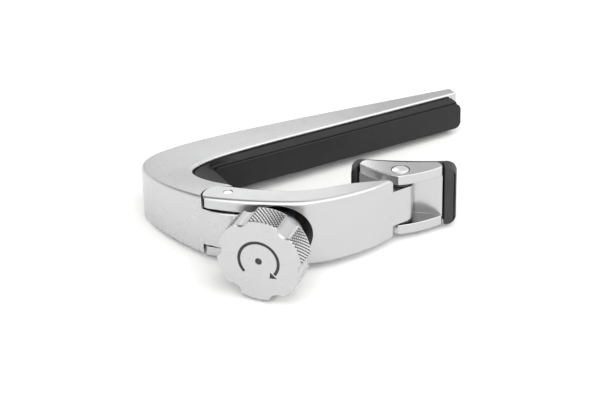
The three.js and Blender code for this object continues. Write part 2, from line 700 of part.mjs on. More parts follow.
function headPadSolid() {
  let body = softPrism(headPadShape(), -HEAD_PAD_HALF_HEIGHT, HEAD_PAD_HALF_HEIGHT, 0.25, 8);
  const corner = 2.1;
  for (const sx of [-1, 1]) {
    for (const sz of [-1, 1]) body = body.subtract(cornerCut(sx, sz, corner));
  }
  const pocket = boxAt(-KEY_HALF_WIDTH - KEY_FIT, KEY_HALF_WIDTH + KEY_FIT, 2, KEY_DEPTH + 0.25,
    -KEY_HALF_HEIGHT - KEY_FIT, KEY_HALF_HEIGHT + KEY_FIT);
  const geometry = toGeometry(body);
  geometry.rotateZ(HEAD_PAD_TILT);
  geometry.translate(HEAD_PAD_OFFSET, 0, -HEAD_PAD_DROP);
  return toManifold(geometry).subtract(pocket);
}

// A rounded corner of the head pad, seen along Y.
function cornerCut(sx, sz, radius) {
  const x = HEAD_PAD_HALF_LENGTH;
  const z = HEAD_PAD_HALF_HEIGHT;
  const shape = new THREE.Shape();
  shape.moveTo(x + 1, z - radius);
  shape.lineTo(x, z - radius);
  shape.quadraticCurveTo(x - 0.25, z - 0.25, x - radius, z);
  shape.lineTo(x - radius, z + 1);
  shape.lineTo(x + 1, z + 1);
  const geometry = new THREE.ExtrudeGeometry(shape, { depth: 12, bevelEnabled: false, curveSegments: 4 });
  geometry.rotateX(Math.PI / 2);
  geometry.translate(0, 10, 0);
  geometry.scale(sx, 1, sz);
  return toManifold(geometry);
}

function headPinSolid() {
  const cap = [[HEAD_PIN_CAP_RADIUS, 6.15], [HEAD_PIN_CAP_RADIUS, 6.95], [HEAD_PIN_CAP_RADIUS - 0.2, 7.15], [0, 7.15]];
  const upper = [[HEAD_PIN_RADIUS, 6.15], ...cap];
  const lower = upper.map(([radius, height]) => [radius, -height]).reverse();
  return turned([...lower, ...upper], 40);
}

// ---------------------------------------------------------------- assembly

const materials = {
  aluminium: { color: 0xc9cacc, roughness: 0.42, metalness: 1 },
  steel: { color: 0xe6e7e8, roughness: 0.2, metalness: 1 },
  springSteel: { color: 0x9a9c9f, roughness: 0.3, metalness: 1 },
  rubber: { color: 0x2a2a2b, roughness: 0.85, metalness: 0 },
  brass: { color: 0xb99a4b, roughness: 0.35, metalness: 1 },
  nylon: { color: 0x3c3c3e, roughness: 0.6, metalness: 0 },
};

function piece(name, materialName, manifold) {
  const mesh = new THREE.Mesh(toGeometry(manifold), new THREE.MeshStandardMaterial(materials[materialName]));
  mesh.name = name;
  return mesh;
}

function mirroredPair(name, materialName, manifold) {
  return [
    piece(`${name}_upper`, materialName, manifold),
    piece(`${name}_lower`, materialName, flipped(manifold, -1)),
  ];
}

const capo = new THREE.Group();

capo.add(
  piece('frame', 'aluminium', frameSolid()),
  piece('string_pad_carrier', 'rubber', withChannelAndStuds(carrierSolid())),
  piece('string_pad', 'rubber', stringPadSolid()),
  piece('screw_bushing', 'brass', bushingSolid()),
  piece('screw_friction_ring', 'nylon', frictionRingSolid()),
  piece('return_spring', 'springSteel', springSolid()),
  piece('lever', 'aluminium', leverSolid()),
  piece('thrust_plate', 'steel', onScrewAxis(disc(2.25, PLATE_FACE, PLATE_FACE + 0.85, 28))),
  piece('thrust_tip', 'steel', thrustTipSolid()),
  piece('adjusting_screw', 'steel', screwSolid()),
  piece('knob', 'aluminium', knobSolid()),
);

const hinge = new THREE.Group();
hinge.position.set(PIVOT.x, PIVOT.y, 0);
hinge.add(
  piece('lever_pin', 'steel', disc(PIN_RADIUS, -LEVER_ROOT_HALF_HEIGHT, LEVER_ROOT_HALF_HEIGHT)),
  ...mirroredPair('pivot_bush', 'brass', ring(PIN_RADIUS + FIT, BUSH_RADIUS, SPRING_POCKET_HALF_HEIGHT + 0.15,
    TONGUE_HALF_HEIGHT - EAR_GAP)),
  ...mirroredPair('lever_washer', 'nylon', ring(PIN_RADIUS + FIT, WASHER_RADIUS, TONGUE_HALF_HEIGHT - EAR_GAP + 0.2,
    TONGUE_HALF_HEIGHT + EAR_GAP - 0.25)),
);
capo.add(hinge);

const head = new THREE.Group();
head.position.set(HEAD_PIVOT.x, HEAD_PIVOT.y, 0);
head.rotation.z = HEAD_ANGLE;
head.add(
  piece('clamp_cradle', 'aluminium', cradleSolid()),
  piece('head_pad', 'rubber', headPadSolid()),
  piece('head_pin', 'steel', headPinSolid()),
  piece('head_bush', 'brass', ring(HEAD_PIN_RADIUS + FIT, HEAD_BUSH_RADIUS, -BARREL_HALF_HEIGHT, BARREL_HALF_HEIGHT)),
  ...mirroredPair('head_washer', 'nylon', ring(HEAD_PIN_RADIUS + FIT, 2.7, BARREL_HALF_HEIGHT + 0.2,
    EAR_INNER - 0.2)),
);
capo.add(head);

export default capo;
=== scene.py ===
"""Looks of the guitar capo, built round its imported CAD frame.

Lengths are millimetres until a mesh is made; the frame and Blender work in metres.
"""
import math

import bpy
import numpy as np
from mathutils import Matrix, Vector


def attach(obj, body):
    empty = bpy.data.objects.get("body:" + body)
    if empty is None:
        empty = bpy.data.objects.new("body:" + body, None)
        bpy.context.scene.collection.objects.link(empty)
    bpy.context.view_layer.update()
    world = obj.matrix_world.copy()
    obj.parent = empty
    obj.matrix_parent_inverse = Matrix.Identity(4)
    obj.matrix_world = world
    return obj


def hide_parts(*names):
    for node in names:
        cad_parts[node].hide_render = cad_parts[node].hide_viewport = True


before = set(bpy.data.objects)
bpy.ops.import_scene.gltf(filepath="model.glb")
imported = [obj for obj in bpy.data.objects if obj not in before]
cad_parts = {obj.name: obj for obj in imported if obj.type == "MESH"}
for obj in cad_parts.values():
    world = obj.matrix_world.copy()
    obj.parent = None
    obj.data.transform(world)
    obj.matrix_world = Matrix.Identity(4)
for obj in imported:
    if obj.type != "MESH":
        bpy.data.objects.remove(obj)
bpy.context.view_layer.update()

MM = 0.001

# ------------------------------------------------------------------ dimensions, as in the CAD source

PAD_START_X, PAD_END_X = -31.1, 33.0
PAD_HALF_HEIGHT = 3.15
PAD_FACE_THICKNESS = 0.5
PAD_CORNER = 1.6
CARRIER_FRONT = 0.7
CARRIER_END_X = PAD_END_X - 0.7
CARRIER_BELOW_FRAME = 0.65
CARRIER_GAP = 0.3
THROAT_STOP_X = -31.4

ROOT_HALF_HEIGHT = 7.0
TIP_HALF_HEIGHT = 4.05
TAPER_LENGTH = 37.0
OUTER_FILLET = 0.85
INNER_FILLET = 0.5
ARM_END_X = 33.4
HINGE_OVERLAP = 2.0

PIVOT = np.array([-36.2, -17.35])
HEAD_PIVOT = np.array([0.0, -27.25])
SCREW_ARM = 11.8
SCREW_ANGLE = math.radians(41.6)
HEAD_ANGLE = math.radians(-34.6)
ADVANCE = np.array([math.cos(SCREW_ANGLE), math.sin(SCREW_ANGLE)])
ACROSS = np.array([math.sin(SCREW_ANGLE), -math.cos(SCREW_ANGLE)])
SCREW_FOOT = PIVOT + SCREW_ARM * ACROSS

TONGUE_HALF_HEIGHT = 4.25
EAR_GAP = 0.4
PIN_RADIUS = 1.0
FIT = 0.15
BUSH_RADIUS = 1.65
LEVER_ROOT_HALF_HEIGHT = 7.0
LEVER_SWELL = 0.6
LEVER_FILLET = 0.9

TONGUE_FACE = -4.0
TONGUE_BOW_LENGTH = 5.8
BOSS_FACE = -1.4
BOSS_RADIUS = 5.6
BOSS_CHAMFER = 0.4
NOSE_CLEARANCE = 0.45
SCOOP_RADIUS = 6.8
SCOOP_FLOOR = 1.3
ANVIL_RADIUS = 3.3
ANVIL_FACE = -0.1
PLATE_FACE = 0.0
TIP_FACE = -0.3
KNOB_BACK = -7.1
KNOB_FACE = -13.5
KNOB_RADIUS = 9.4
KNOB_FLUTES = 6
FLUTE_PHASE = math.radians(-7)
SCREW_RADIUS = 2.4
SCREW_END = -1.75
THREAD_PITCH = 0.8
BUSHING_RADIUS = 3.4
BUSHING_COLLAR = -4.3

EAR_INNER = 4.85
HEAD_HALF_HEIGHT = 7.15
HEAD_HALF_WIDTH = 8.95
HEAD_PIN_RADIUS = 1.25
LEVER_WASHER_RADIUS = 2.6
HEAD_WASHER_RADIUS = 2.7
HEAD_PIN_CAP_RADIUS = 1.85
HEAD_BUSH_RADIUS = 1.8
BARREL_RADIUS = 2.85
BARREL_HALF_HEIGHT = 4.1
HEAD_PAD_HALF_LENGTH = 11.37
HEAD_PAD_LIP = 1.6
HEAD_PAD_WIDE_LIP = 2.6
HEAD_PAD_HALF_HEIGHT = 7.0
HEAD_PAD_OFFSET = 0.63
HEAD_PAD_DROP = 0.4
HEAD_PAD_TILT = math.radians(1.2)
BACK_DIP = 3.05

# ------------------------------------------------------------------ plan curves


def bezier(p0, p1, p2, p3, steps):
    t = np.linspace(0, 1, steps + 1)[:, None]
    p0, p1, p2, p3 = (np.array(p, float) for p in (p0, p1, p2, p3))
    return (1 - t) ** 3 * p0 + 3 * (1 - t) ** 2 * t * p1 + 3 * (1 - t) * t ** 2 * p2 + t ** 3 * p3


def bezier_chain(start, segments, steps):
    points = [np.array([start], float)]
    for (c1, c2, end), count in zip(segments, steps):
        points.append(bezier(points[-1][-1], c1, c2, end, count)[1:])
    return np.concatenate(points)


def quadratic(p0, p1, p2, steps):
    t = np.linspace(0, 1, steps + 1)[:, None]
    p0, p1, p2 = (np.array(p, float) for p in (p0, p1, p2))
    return (1 - t) ** 2 * p0 + 2 * (1 - t) * t * p1 + t ** 2 * p2


def outline(*parts):
    """Joins points and runs of points into one list without doubles."""
    rows = np.concatenate([np.atleast_2d(np.array(p, float)) for p in parts])
    keep = [rows[0]]
    for p in rows[1:]:
        if np.linalg.norm(p - keep[-1]) > 1e-4:
            keep.append(p)
    if np.linalg.norm(keep[0] - keep[-1]) < 1e-4:
        keep.pop()
    return np.array(keep)


def catmull(points, per_segment):
    """Centripetal Catmull-Rom through the points."""
    points = [np.array(p, float) for p in points]
    points = [2 * points[0] - points[1]] + points + [2 * points[-1] - points[-2]]
    rows = []
    for i in range(1, len(points) - 2):
        x0, x1, x2, x3 = points[i - 1:i + 3]
        d0, d1, d2 = (np.linalg.norm(b - a) ** 0.5 for a, b in ((x0, x1), (x1, x2), (x2, x3)))
        m1 = ((x1 - x0) / d0 - (x2 - x0) / (d0 + d1) + (x2 - x1) / d1) * d1
        m2 = ((x2 - x1) / d1 - (x3 - x1) / (d1 + d2) + (x3 - x2) / d2) * d1
        for t in np.arange(per_segment) / per_segment:
            rows.append((2 * t ** 3 - 3 * t ** 2 + 1) * x1 + (t ** 3 - 2 * t ** 2 + t) * m1
                        + (-2 * t ** 3 + 3 * t ** 2) * x2 + (t ** 3 - t ** 2) * m2)
    rows.append(points[-2])
    return np.array(rows)


def at_screw(across, along):
    return SCREW_FOOT + across * ACROSS + along * ADVANCE


def rounded_bar(half_x, half_y, radius, steps=8):
    rows = []
    for k, (sx, sy) in enumerate(((1, -1), (1, 1), (-1, 1), (-1, -1))):
        for a in np.linspace(-math.pi / 2, 0, steps + 1) + k * math.pi / 2:
            rows.append((sx * (half_x - radius) + radius * math.cos(a),
                         sy * (half_y - radius) + radius * math.sin(a)))
    return np.array(rows)


FRAME_STEPS = (44, 64, 90)
frame_outer = bezier_chain((-41.2, -17.8), [
    ((-43.9, -12.4), (-46.75, -5.6), (-46.85, 0.75)),
    ((-47.0, 6.9), (-43.0, 9.75), (-36.65, 10.55)),
    ((-26, 12.9), (5, 9.8), (ARM_END_X, 6.47))], FRAME_STEPS)
frame_inner = bezier_chain((-33.9, -14.9), [
    ((-35.6, -11.6), (-37.8, -8.2), (-37.8, -4.4)),
    ((-37.8, -1.3), (-35.2, 0.25), (-31.4, 1.2)),
    ((-24.5, 3.5), (4, 3.55), (ARM_END_X, 3.5))], FRAME_STEPS)
frame_lengths = np.concatenate([[0], np.cumsum(np.linalg.norm(np.diff(frame_outer, axis=0), axis=1))])

LEVER_STEPS = (60, 44, 30)
lever_outer = bezier_chain((-43.2, -15.1), [
    ((-38.6, -20.9), (-31.5, -27.0), (-25.6, -30.05)),
    ((-21.3, -32.25), (-14.5, -32.4), (-9.5, -31.85)),
    ((-6.3, -31.5), (-3.2, -30.1), (0.3, -30.1))], LEVER_STEPS)
lever_inner = bezier_chain((-37.2, -12.2), [
    ((-33.5, -17.0), (-28.5, -22.6), (-23.2, -25.0)),
    ((-20.0, -26.4), (-16.0, -27.0), (-12.3, -27.2)),
    ((-9.0, -27.4), (-4.0, -24.4), (0.3, -24.4))], LEVER_STEPS)
lever_lengths = np.concatenate([[0], np.cumsum(np.linalg.norm(np.diff(lever_outer, axis=0), axis=1))])


def frame_half_height(length):
    beyond = max(0.0, length - HINGE_OVERLAP)
    return TIP_HALF_HEIGHT + (ROOT_HALF_HEIGHT - TIP_HALF_HEIGHT) * math.exp(-beyond / TAPER_LENGTH)


def frame_fillet(length):
    return OUTER_FILLET * (0.45 + 0.55 * math.exp(-length / TAPER_LENGTH))


def nose_outline(clearance):
    nose = [(-30, -27.4), (-36.9, -22), (-40.4, -18.4), (-41.5, -16.8), (-41.1, -15.3), (-40.2, -14.35),
            (-39.2, -13.75), (-38, -13.65), (-36.4, -14.2), (-34.85, -15.5), (-30, -20.5)]
    grown = []
    for p in np.array(nose, float):
        away = p - PIVOT
        grown.append(p + away / np.linalg.norm(away) * clearance)
    return catmull(grown, 10)


# ------------------------------------------------------------------ mesh helpers


def mesh_object(name, verts, faces):
    mesh = bpy.data.meshes.new(name)
    mesh.from_pydata([tuple(float(c) * MM for c in v) for v in verts], [], faces)
    mesh.update()
    obj = bpy.data.objects.new(name, mesh)
    bpy.context.scene.collection.objects.link(obj)
    if signed_volume(mesh) < 0:
        mesh.flip_normals()
    return obj


def signed_volume(mesh):
    mesh.calc_loop_triangles()
    co = np.zeros(len(mesh.vertices) * 3)
    mesh.vertices.foreach_get("co", co)
    tri = np.zeros(len(mesh.loop_triangles) * 3, int)
    mesh.loop_triangles.foreach_get("vertices", tri)
    co, tri = co.reshape(-1, 3), tri.reshape(-1, 3)
    return np.einsum("ij,ij->i", co[tri[:, 0]], np.cross(co[tri[:, 1]], co[tri[:, 2]])).sum()


def loft(name, rings, caps=True):
    """A skin over closed rings of points, all with the same count."""
    count = len(rings[0])
    verts = [p for ring in rings for p in ring]
    faces = []
    for row in range(len(rings) - 1):
        for i in range(count):
            j = (i + 1) % count
            faces.append((row * count + i, row * count + j, (row + 1) * count + j, (row + 1) * count + i))
    if caps:
        faces.append(tuple(reversed(range(count))))
        faces.append(tuple((len(rings) - 1) * count + i for i in range(count)))
    return mesh_object(name, verts, faces)


def prism(name, plan, low, high):
    return loft(name, [[(x, y, low) for x, y in plan], [(x, y, high) for x, y in plan]])


def along_y(name, plan, low, high):
    """A prism of an X-Z outline between two Y planes."""
    return loft(name, [[(x, low, z) for x, z in plan], [(x, high, z) for x, z in plan]])


def turned(name, profile, segments=96, place=None):
    """A turned solid about Z from (radius, height) pairs; a radius of 0 closes it on the axis."""
    ring = profile[0] == profile[-1]
    profile = profile[:-1] if ring else profile
    verts, faces, rows = [], [], []
    for radius, height in profile:
        if radius < 1e-9:
            rows.append([len(verts)] * segments)
            verts.append((0, 0, height))
        else:
            rows.append(list(range(len(verts), len(verts) + segments)))
            verts += [(radius * math.cos(2 * math.pi * i / segments),
                       radius * math.sin(2 * math.pi * i / segments), height) for i in range(segments)]
    pairs = list(zip(rows, rows[1:] + ([rows[0]] if ring else [])))
    for a, b in pairs if ring else pairs[:len(rows) - 1]:
        for i in range(segments):
            j = (i + 1) % segments
            face = [a[i], a[j], b[j], b[i]]
            face = [v for k, v in enumerate(face) if v != face[k - 1]]
            if len(face) > 2:
                faces.append(tuple(face))
    obj = mesh_object(name, verts, faces)
    if place is not None:
        obj.data.transform(place)
    return obj


def disc(name, radius, low, high, place=None, segments=96):
    return turned(name, [(0, low), (radius, low), (radius, high), (0, high)], segments, place)


def at(x, y, z=0.0):
    return Matrix.Translation((x * MM, y * MM, z * MM))


# From a frame whose +Z is the screw's advance and whose origin is the foot of the perpendicular.
ON_SCREW = at(*SCREW_FOOT) @ Matrix.Rotation(SCREW_ANGLE, 4, "Z") @ Matrix.Rotation(math.pi / 2, 4, "Y")
ON_HEAD = at(*HEAD_PIVOT) @ Matrix.Rotation(HEAD_ANGLE, 4, "Z")
ON_PIVOT = at(*PIVOT)
UPSIDE_DOWN = Matrix.Rotation(math.pi, 4, "X")


def apply_modifiers(obj):
    bpy.context.view_layer.update()
    evaluated = obj.evaluated_get(bpy.context.evaluated_depsgraph_get())
    mesh = bpy.data.meshes.new_from_object(evaluated)
    mesh.name = obj.name
    obj.modifiers.clear()
    obj.data = mesh
    return obj


def combine(obj, other, operation):
    """Boolean of two closed solids; the second one is used up."""
    modifier = obj.modifiers.new("cut", "BOOLEAN")
    modifier.object = other
    modifier.operation = operation
    modifier.solver = "MANIFOLD"
    apply_modifiers(obj)
    bpy.data.objects.remove(other)
    return obj


def cut(obj, *tools):
    for tool in tools:
        combine(obj, tool, "DIFFERENCE")
    return obj


def join(obj, *others):
    for other in others:
        combine(obj, other, "UNION")
    return obj


def round_edges(obj, width, segments=3, angle=40):
    modifier = obj.modifiers.new("round", "BEVEL")
    modifier.width = width * MM
    modifier.segments = segments
    modifier.limit_method = "ANGLE"
    modifier.angle_limit = math.radians(angle)
    modifier.use_clamp_overlap = False
    modifier.miter_outer = "MITER_ARC"
    return apply_modifiers(obj)


def section(outer, inner, half_height, outer_fillet, inner_fillet, steps=6, across=5, up=4):
    """One closed section between an outer and an inner plan point, with filleted corners."""
    width = np.linalg.norm(inner - outer)
    to_inner = (inner - outer) / width
    corners = [(outer_fillet, half_height - outer_fillet, outer_fillet, math.pi, math.pi / 2),
               (width - inner_fillet, half_height - inner_fillet, inner_fillet, math.pi / 2, 0),
               (width - inner_fillet, -half_height + inner_fillet, inner_fillet, 0, -math.pi / 2),
               (outer_fillet, -half_height + outer_fillet, outer_fillet, -math.pi / 2, -math.pi)]
    rows = []
    for k, (along, height, radius, start, end) in enumerate(corners):
        for a in np.linspace(start, end, steps + 1):
            rows.append((along + radius * math.cos(a), height + radius * math.sin(a)))
        following = corners[(k + 1) % 4]
        goal = np.array([following[0] + following[2] * math.cos(following[3]),
                         following[1] + following[2] * math.sin(following[3])])
        here = np.array(rows[-1])
        between = across if k % 2 == 0 else up
        near = 0.03
        for t in [near] + list(np.arange(1, between) / between) + [1 - near]:
            rows.append(tuple(here + (goal - here) * t))
    return [(*(outer + to_inner * along), height) for along, height in rows]


def shade(obj, sharp=32):
    obj.data.shade_smooth()
    obj.data.set_sharp_from_angle(angle=math.radians(sharp))
    modifier = obj.modifiers.new("weighted", "WEIGHTED_NORMAL")
    modifier.mode = "FACE_AREA"
    modifier.weight = 50
    modifier.keep_sharp = True
    return obj


# ------------------------------------------------------------------ materials


class Nodes:
    """Small helper that adds nodes to a material and links them."""

    def __init__(self, name):
        self.material = bpy.data.materials.new(name)
        self.material.use_nodes = True
        self.tree = self.material.node_tree
        self.shader = self.tree.nodes["Principled BSDF"]
        self.coordinates = self.add("ShaderNodeTexCoord").outputs["Object"]

    def add(self, kind, inputs=None, **settings):
        node = self.tree.nodes.new(kind)
        for key, value in settings.items():
            setattr(node, key, value)
        for key, value in (inputs or {}).items():
            if isinstance(value, bpy.types.NodeSocket):
                self.tree.links.new(value, node.inputs[key])
            else:
                node.inputs[key].default_value = value
        return node

    def noise(self, size, detail=3.0, roughness=0.55, stretch=None):
        """Noise whose features are about `size` millimetres."""
        vector = self.coordinates
        if stretch:
            vector = self.add("ShaderNodeMapping", {"Vector": vector, "Scale": stretch}).outputs["Vector"]
        return self.add("ShaderNodeTexNoise", {"Vector": vector, "Scale": 1 / (size * MM), "Detail": detail,
                                               "Roughness": roughness}).outputs["Fac"]

    def spread(self, value, low, high, start=0.3, end=0.7):
        return self.add("ShaderNodeMapRange", {"Value": value, "From Min": start, "From Max": end,
                                               "To Min": low, "To Max": high}).outputs["Result"]

    def ramp(self, value, dark, light):
        node = self.add("ShaderNodeValToRGB", {"Fac": value})
        node.color_ramp.elements[0].position = 0.3
        node.color_ramp.elements[1].position = 0.7
        node.color_ramp.elements[0].color = (*dark, 1)
        node.color_ramp.elements[1].color = (*light, 1)
        return node.outputs["Color"]

    def bump(self, height, depth, strength=1.0, normal=None):
        """Bump of that depth in millimetres."""
        inputs = {"Height": height, "Distance": depth * MM, "Strength": strength}
        if normal is not None:
            inputs["Normal"] = normal
        return self.add("ShaderNodeBump", inputs).outputs["Normal"]

    def soft_edges(self, radius):
        return self.add("ShaderNodeBevel", {"Radius": radius * MM}, samples=6).outputs["Normal"]

    def set(self, **values):
        for key, value in values.items():
            socket = self.shader.inputs[key.replace("_", " ")]
            if isinstance(value, bpy.types.NodeSocket):
                self.tree.links.new(value, socket)
            else:
                socket.default_value = value
        return self.material


def blasted_aluminium(name, color=0.575, roughness=(0.26, 0.32), grain=0.0004, edge=0.14):
    n = Nodes(name)
    fine, blotch = n.noise(0.3, 1), n.noise(3.5, 3)
    tone = n.ramp(blotch, (color * 0.975, color * 0.98, color * 0.99), (color, color * 1.002, color * 1.008))
    normal = n.bump(fine, grain, normal=n.soft_edges(edge))
    normal = n.bump(n.noise(0.8, 2), grain * 0.5, normal=normal)
    return n.set(Base_Color=tone, Metallic=1.0, Roughness=n.spread(blotch, *roughness), Normal=normal)


def recess_painted_shade(name, color, roughness):
    """Aluminium with turning marks, darkened to paint the shade that falls inside a recess."""
    n = Nodes(name)
    blotch = n.noise(2.2, 3)
    marks = n.noise(0.35, 2, stretch=(1.0, 1.0, 0.12))
    tone = n.ramp(marks, (color * 0.7,) * 3, (color * 1.15, color * 1.15, color * 1.17))
    normal = n.bump(marks, 0.002, normal=n.soft_edges(0.05))
    return n.set(Base_Color=tone, Metallic=1.0, Roughness=n.spread(blotch, *roughness), Normal=normal)


def knurled_aluminium(name, color):
    """Blasted aluminium with painted shade in the valleys of the knurl, where the mesh carries a `valley`
    value.
    """
    n = Nodes(name)
    blotch = n.noise(3.5, 3)
    valley = n.add("ShaderNodeAttribute", attribute_name="valley").outputs["Fac"]
    unshaded_tone = n.ramp(blotch, (color * 0.975, color * 0.98, color * 0.99), (color, color * 1.002, color * 1.008))
    # Painted shade: the knurl's valleys are darkened to a fifth of the tone.
    sharp = n.spread(valley, 0.0, 1.0, 0.35, 0.85)
    mix = n.add("ShaderNodeMix", data_type="RGBA")
    n.tree.links.new(sharp, mix.inputs["Factor"])
    n.tree.links.new(unshaded_tone, mix.inputs[6])
    mix.inputs[7].default_value = (color * 0.2, color * 0.2, color * 0.205, 1)
    normal = n.bump(n.noise(0.3, 1), 0.0004, normal=n.soft_edges(0.04))
    return n.set(Base_Color=mix.outputs[2], Metallic=1.0, Roughness=n.spread(blotch, 0.26, 0.32),
                 Normal=normal)


def turned_metal(name, color, roughness, edge=0.06, lines=0.0008):
    """Metal with fine lathe lines round the local Z axis of its part."""
    n = Nodes(name)
    blotch = n.noise(1.6, 3)
    fine = n.noise(0.12, 2)
    dark = tuple(c * 0.93 for c in color)
    normal = n.bump(fine, lines, normal=n.soft_edges(edge))
    return n.set(Base_Color=n.ramp(blotch, dark, color), Metallic=1.0,
                 Roughness=n.spread(blotch, roughness * 0.85, roughness * 1.15), Normal=normal)


def moulded_rubber(name, tone=0.021, roughness=(0.52, 0.66), grain=0.012):
    n = Nodes(name)
    fine, wide = n.noise(0.16, 4, 0.62), n.noise(4.5, 3)
    color = n.ramp(wide, (tone * 0.86,) * 3, (tone * 1.14, tone * 1.14, tone * 1.16))
    normal = n.bump(fine, grain, normal=n.soft_edges(0.12))
    return n.set(Base_Color=color, Roughness=n.spread(fine, *roughness), Normal=normal,
                 Specular_IOR_Level=0.36)


def plain_plastic(name, color):
    n = Nodes(name)
    wide = n.noise(1.2, 3)
    dark = tuple(c * 0.9 for c in color)
    normal = n.bump(n.noise(0.2, 3), 0.004, normal=n.soft_edges(0.08))
    return n.set(Base_Color=n.ramp(wide, dark, color), Roughness=n.spread(wide, 0.42, 0.55), Normal=normal,
                 Subsurface_Weight=0.1, Subsurface_Radius=(0.001, 0.001, 0.001), Subsurface_Scale=0.3)


FRAME_METAL = blasted_aluminium("blasted_aluminium_frame")
LEVER_METAL = blasted_aluminium("blasted_aluminium_lever", roughness=(0.28, 0.34))
HEAD_METAL = blasted_aluminium("blasted_aluminium_head", roughness=(0.17, 0.22), edge=0.1)
KNOB_METAL = knurled_aluminium("blasted_aluminium_knob", color=0.57)
# Painted shade: a dark aluminium put on recess faces to stand for the shade inside them.
RECESS_SHADE_METAL = recess_painted_shade("recess_painted_shade", 0.2, (0.28, 0.36))
STEEL = turned_metal("turned_steel", (0.86, 0.865, 0.87), 0.2)
WIRE = turned_metal("drawn_wire", (0.5, 0.51, 0.52), 0.28)
BRASS = turned_metal("turned_brass", (0.72, 0.57, 0.27), 0.28)
NYLON = plain_plastic("black_nylon", (0.05, 0.05, 0.052))
RUBBER = moulded_rubber("moulded_rubber", 0.015)
SOFT_RUBBER = moulded_rubber("moulded_rubber_cushion", 0.013, (0.5, 0.64), 0.014)
HEAD_RUBBER = moulded_rubber("moulded_rubber_head", 0.036, (0.5, 0.64), 0.014)


def mark_paint():
    n = Nodes("engraving_fill")
    wide = n.noise(0.5, 3)
    normal = n.bump(n.noise(0.12, 3), 0.01)
    return n.set(Base_Color=n.ramp(wide, (0.022,) * 3, (0.04,) * 3),
                 Roughness=n.spread(wide, 0.5, 0.65), Normal=normal)


MARK_PAINT = mark_paint()


def piece(obj, body, nodes, material, sharp=32):
    """The finished piece rides on its body, stands for its CAD nodes and takes the given material."""
    obj.data.materials.clear()
    obj.data.materials.append(material)
    shade(obj, sharp)
    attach(obj, body)
    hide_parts(*nodes)
    return obj


def paint_shade_on_faces(obj, material, chosen):
    """Gives the faces picked by `chosen(centre, normal)`, in millimetres, a second material, which here is
    painted shade.
    """
    obj.data.materials.append(material)
    for face in obj.data.polygons:
        if chosen(Vector(face.center) / MM, face.normal):
            face.material_index = len(obj.data.materials) - 1


# ------------------------------------------------------------------ frame

TALL = 12.0


def arm():
    rings = [section(o, i, frame_half_height(s), frame_fillet(s), INNER_FILLET)
             for o, i, s in zip(frame_outer, frame_inner, frame_lengths)]
    outer, inner, length = frame_outer[-1], frame_inner[-1], frame_lengths[-1]
    across = (inner - outer) / np.linalg.norm(inner - outer)
    end_round = 0.8
    for angle in np.radians(np.linspace(12, 88, 7)):
        forward = np.array([end_round * math.sin(angle), 0])
        inset = end_round * (1 - math.cos(angle))
        rings.append(section(outer + forward + across * inset, inner + forward - across * inset,
                             frame_half_height(length) - inset, frame_fillet(length), INNER_FILLET))
    return loft("capo_frame", rings)


def tongue_wall():
    """Leaves the end of the frame's wall along its tangent and settles on the tongue's flat face."""
    end = frame_outer[0] - SCREW_FOOT
    tangent = frame_outer[1] - frame_outer[0]
    slope = (tangent @ ADVANCE) / (tangent @ ACROSS)
    points = []
    for share in np.linspace(0, 1, 17):
        settled = (end @ ADVANCE) * (1 - share) + TONGUE_FACE * share
        run = TONGUE_BOW_LENGTH * share
        points.append(at_screw(end @ ACROSS + run, settled + slope * run * (1 - share)))
    return points


def tongue():
    knuckle = 3.4
    arc = [at_screw(-SCREW_ARM + knuckle * math.cos(a), knuckle * math.sin(a))
           for a in np.linspace(0, math.radians(98), 28)]
    plan = outline([at_screw(-17.5, -1.5), at_screw(-15.2, -3.6)], tongue_wall(),
                   [at_screw(0, TONGUE_FACE), at_screw(0, BOSS_FACE),
                    at_screw(-7.9, BOSS_FACE), at_screw(-8.4, -0.3)],
                   arc, [at_screw(-13.6, 3.9), at_screw(-18.2, 3.9)])
    plate = round_edges(prism("tongue", plan, -TONGUE_HALF_HEIGHT, TONGUE_HALF_HEIGHT), 0.3, angle=60)
    boss = turned("boss", [(0, TONGUE_FACE), (BOSS_RADIUS - BOSS_CHAMFER, TONGUE_FACE),
                           (BOSS_RADIUS - 0.12, TONGUE_FACE + 0.12), (BOSS_RADIUS,
                                                                      TONGUE_FACE + BOSS_CHAMFER),
                           (BOSS_RADIUS, BOSS_FACE), (0, BOSS_FACE)], 96, ON_SCREW)
    return join(plate, boss)


SPRING_POCKET_HALF_HEIGHT = 1.7
SHY = 0.02                             # keeps one cutter's planes just off another's
STUD_PLACES = (-24, 0, 22)
STUD_RADIUS = 1.2


def stud(x, radius, start, end):
    place = at(x, 0) @ Matrix.Rotation(-math.pi / 2, 4, "X")
    return disc("stud", radius, start, end, place, 48)


def build_frame():
    body = arm()
    mouth = [at_screw(-13.9, 0), at_screw(-9.4, 0), at_screw(-7, 4.6), at_screw(-15.2, 7), at_screw(-15.6, 3)]
    cut(body, prism("ear_room", nose_outline(NOSE_CLEARANCE), TONGUE_HALF_HEIGHT, TALL),
        prism("ear_room", nose_outline(NOSE_CLEARANCE), -TALL, -TONGUE_HALF_HEIGHT))
    join(body, tongue())
    cut(body, disc("bore", BUSH_RADIUS + FIT, -TALL, TALL, ON_PIVOT),
        disc("coil", 2.7, -SPRING_POCKET_HALF_HEIGHT, SPRING_POCKET_HALF_HEIGHT, ON_PIVOT),
        prism("mouth", mouth, -SPRING_POCKET_HALF_HEIGHT + SHY, SPRING_POCKET_HALF_HEIGHT - SHY))
    for side in (1, -1):
        low, high = sorted((side * (TONGUE_HALF_HEIGHT - EAR_GAP), side * (TONGUE_HALF_HEIGHT + 1)))
        cut(body, disc("spot", 2.9, low, high, ON_PIVOT))
    cut(body, disc("screw_bore", BUSHING_RADIUS + FIT, TONGUE_FACE - 3, BOSS_FACE + 3, ON_SCREW))
    for x in STUD_PLACES:
        cut(body, stud(x, STUD_RADIUS + FIT, 2, (5.6 if x < -10 else 5.2) + 0.3))
    return piece(body, "frame", ["frame"], FRAME_METAL)


# ------------------------------------------------------------------ pad carrier and string pad


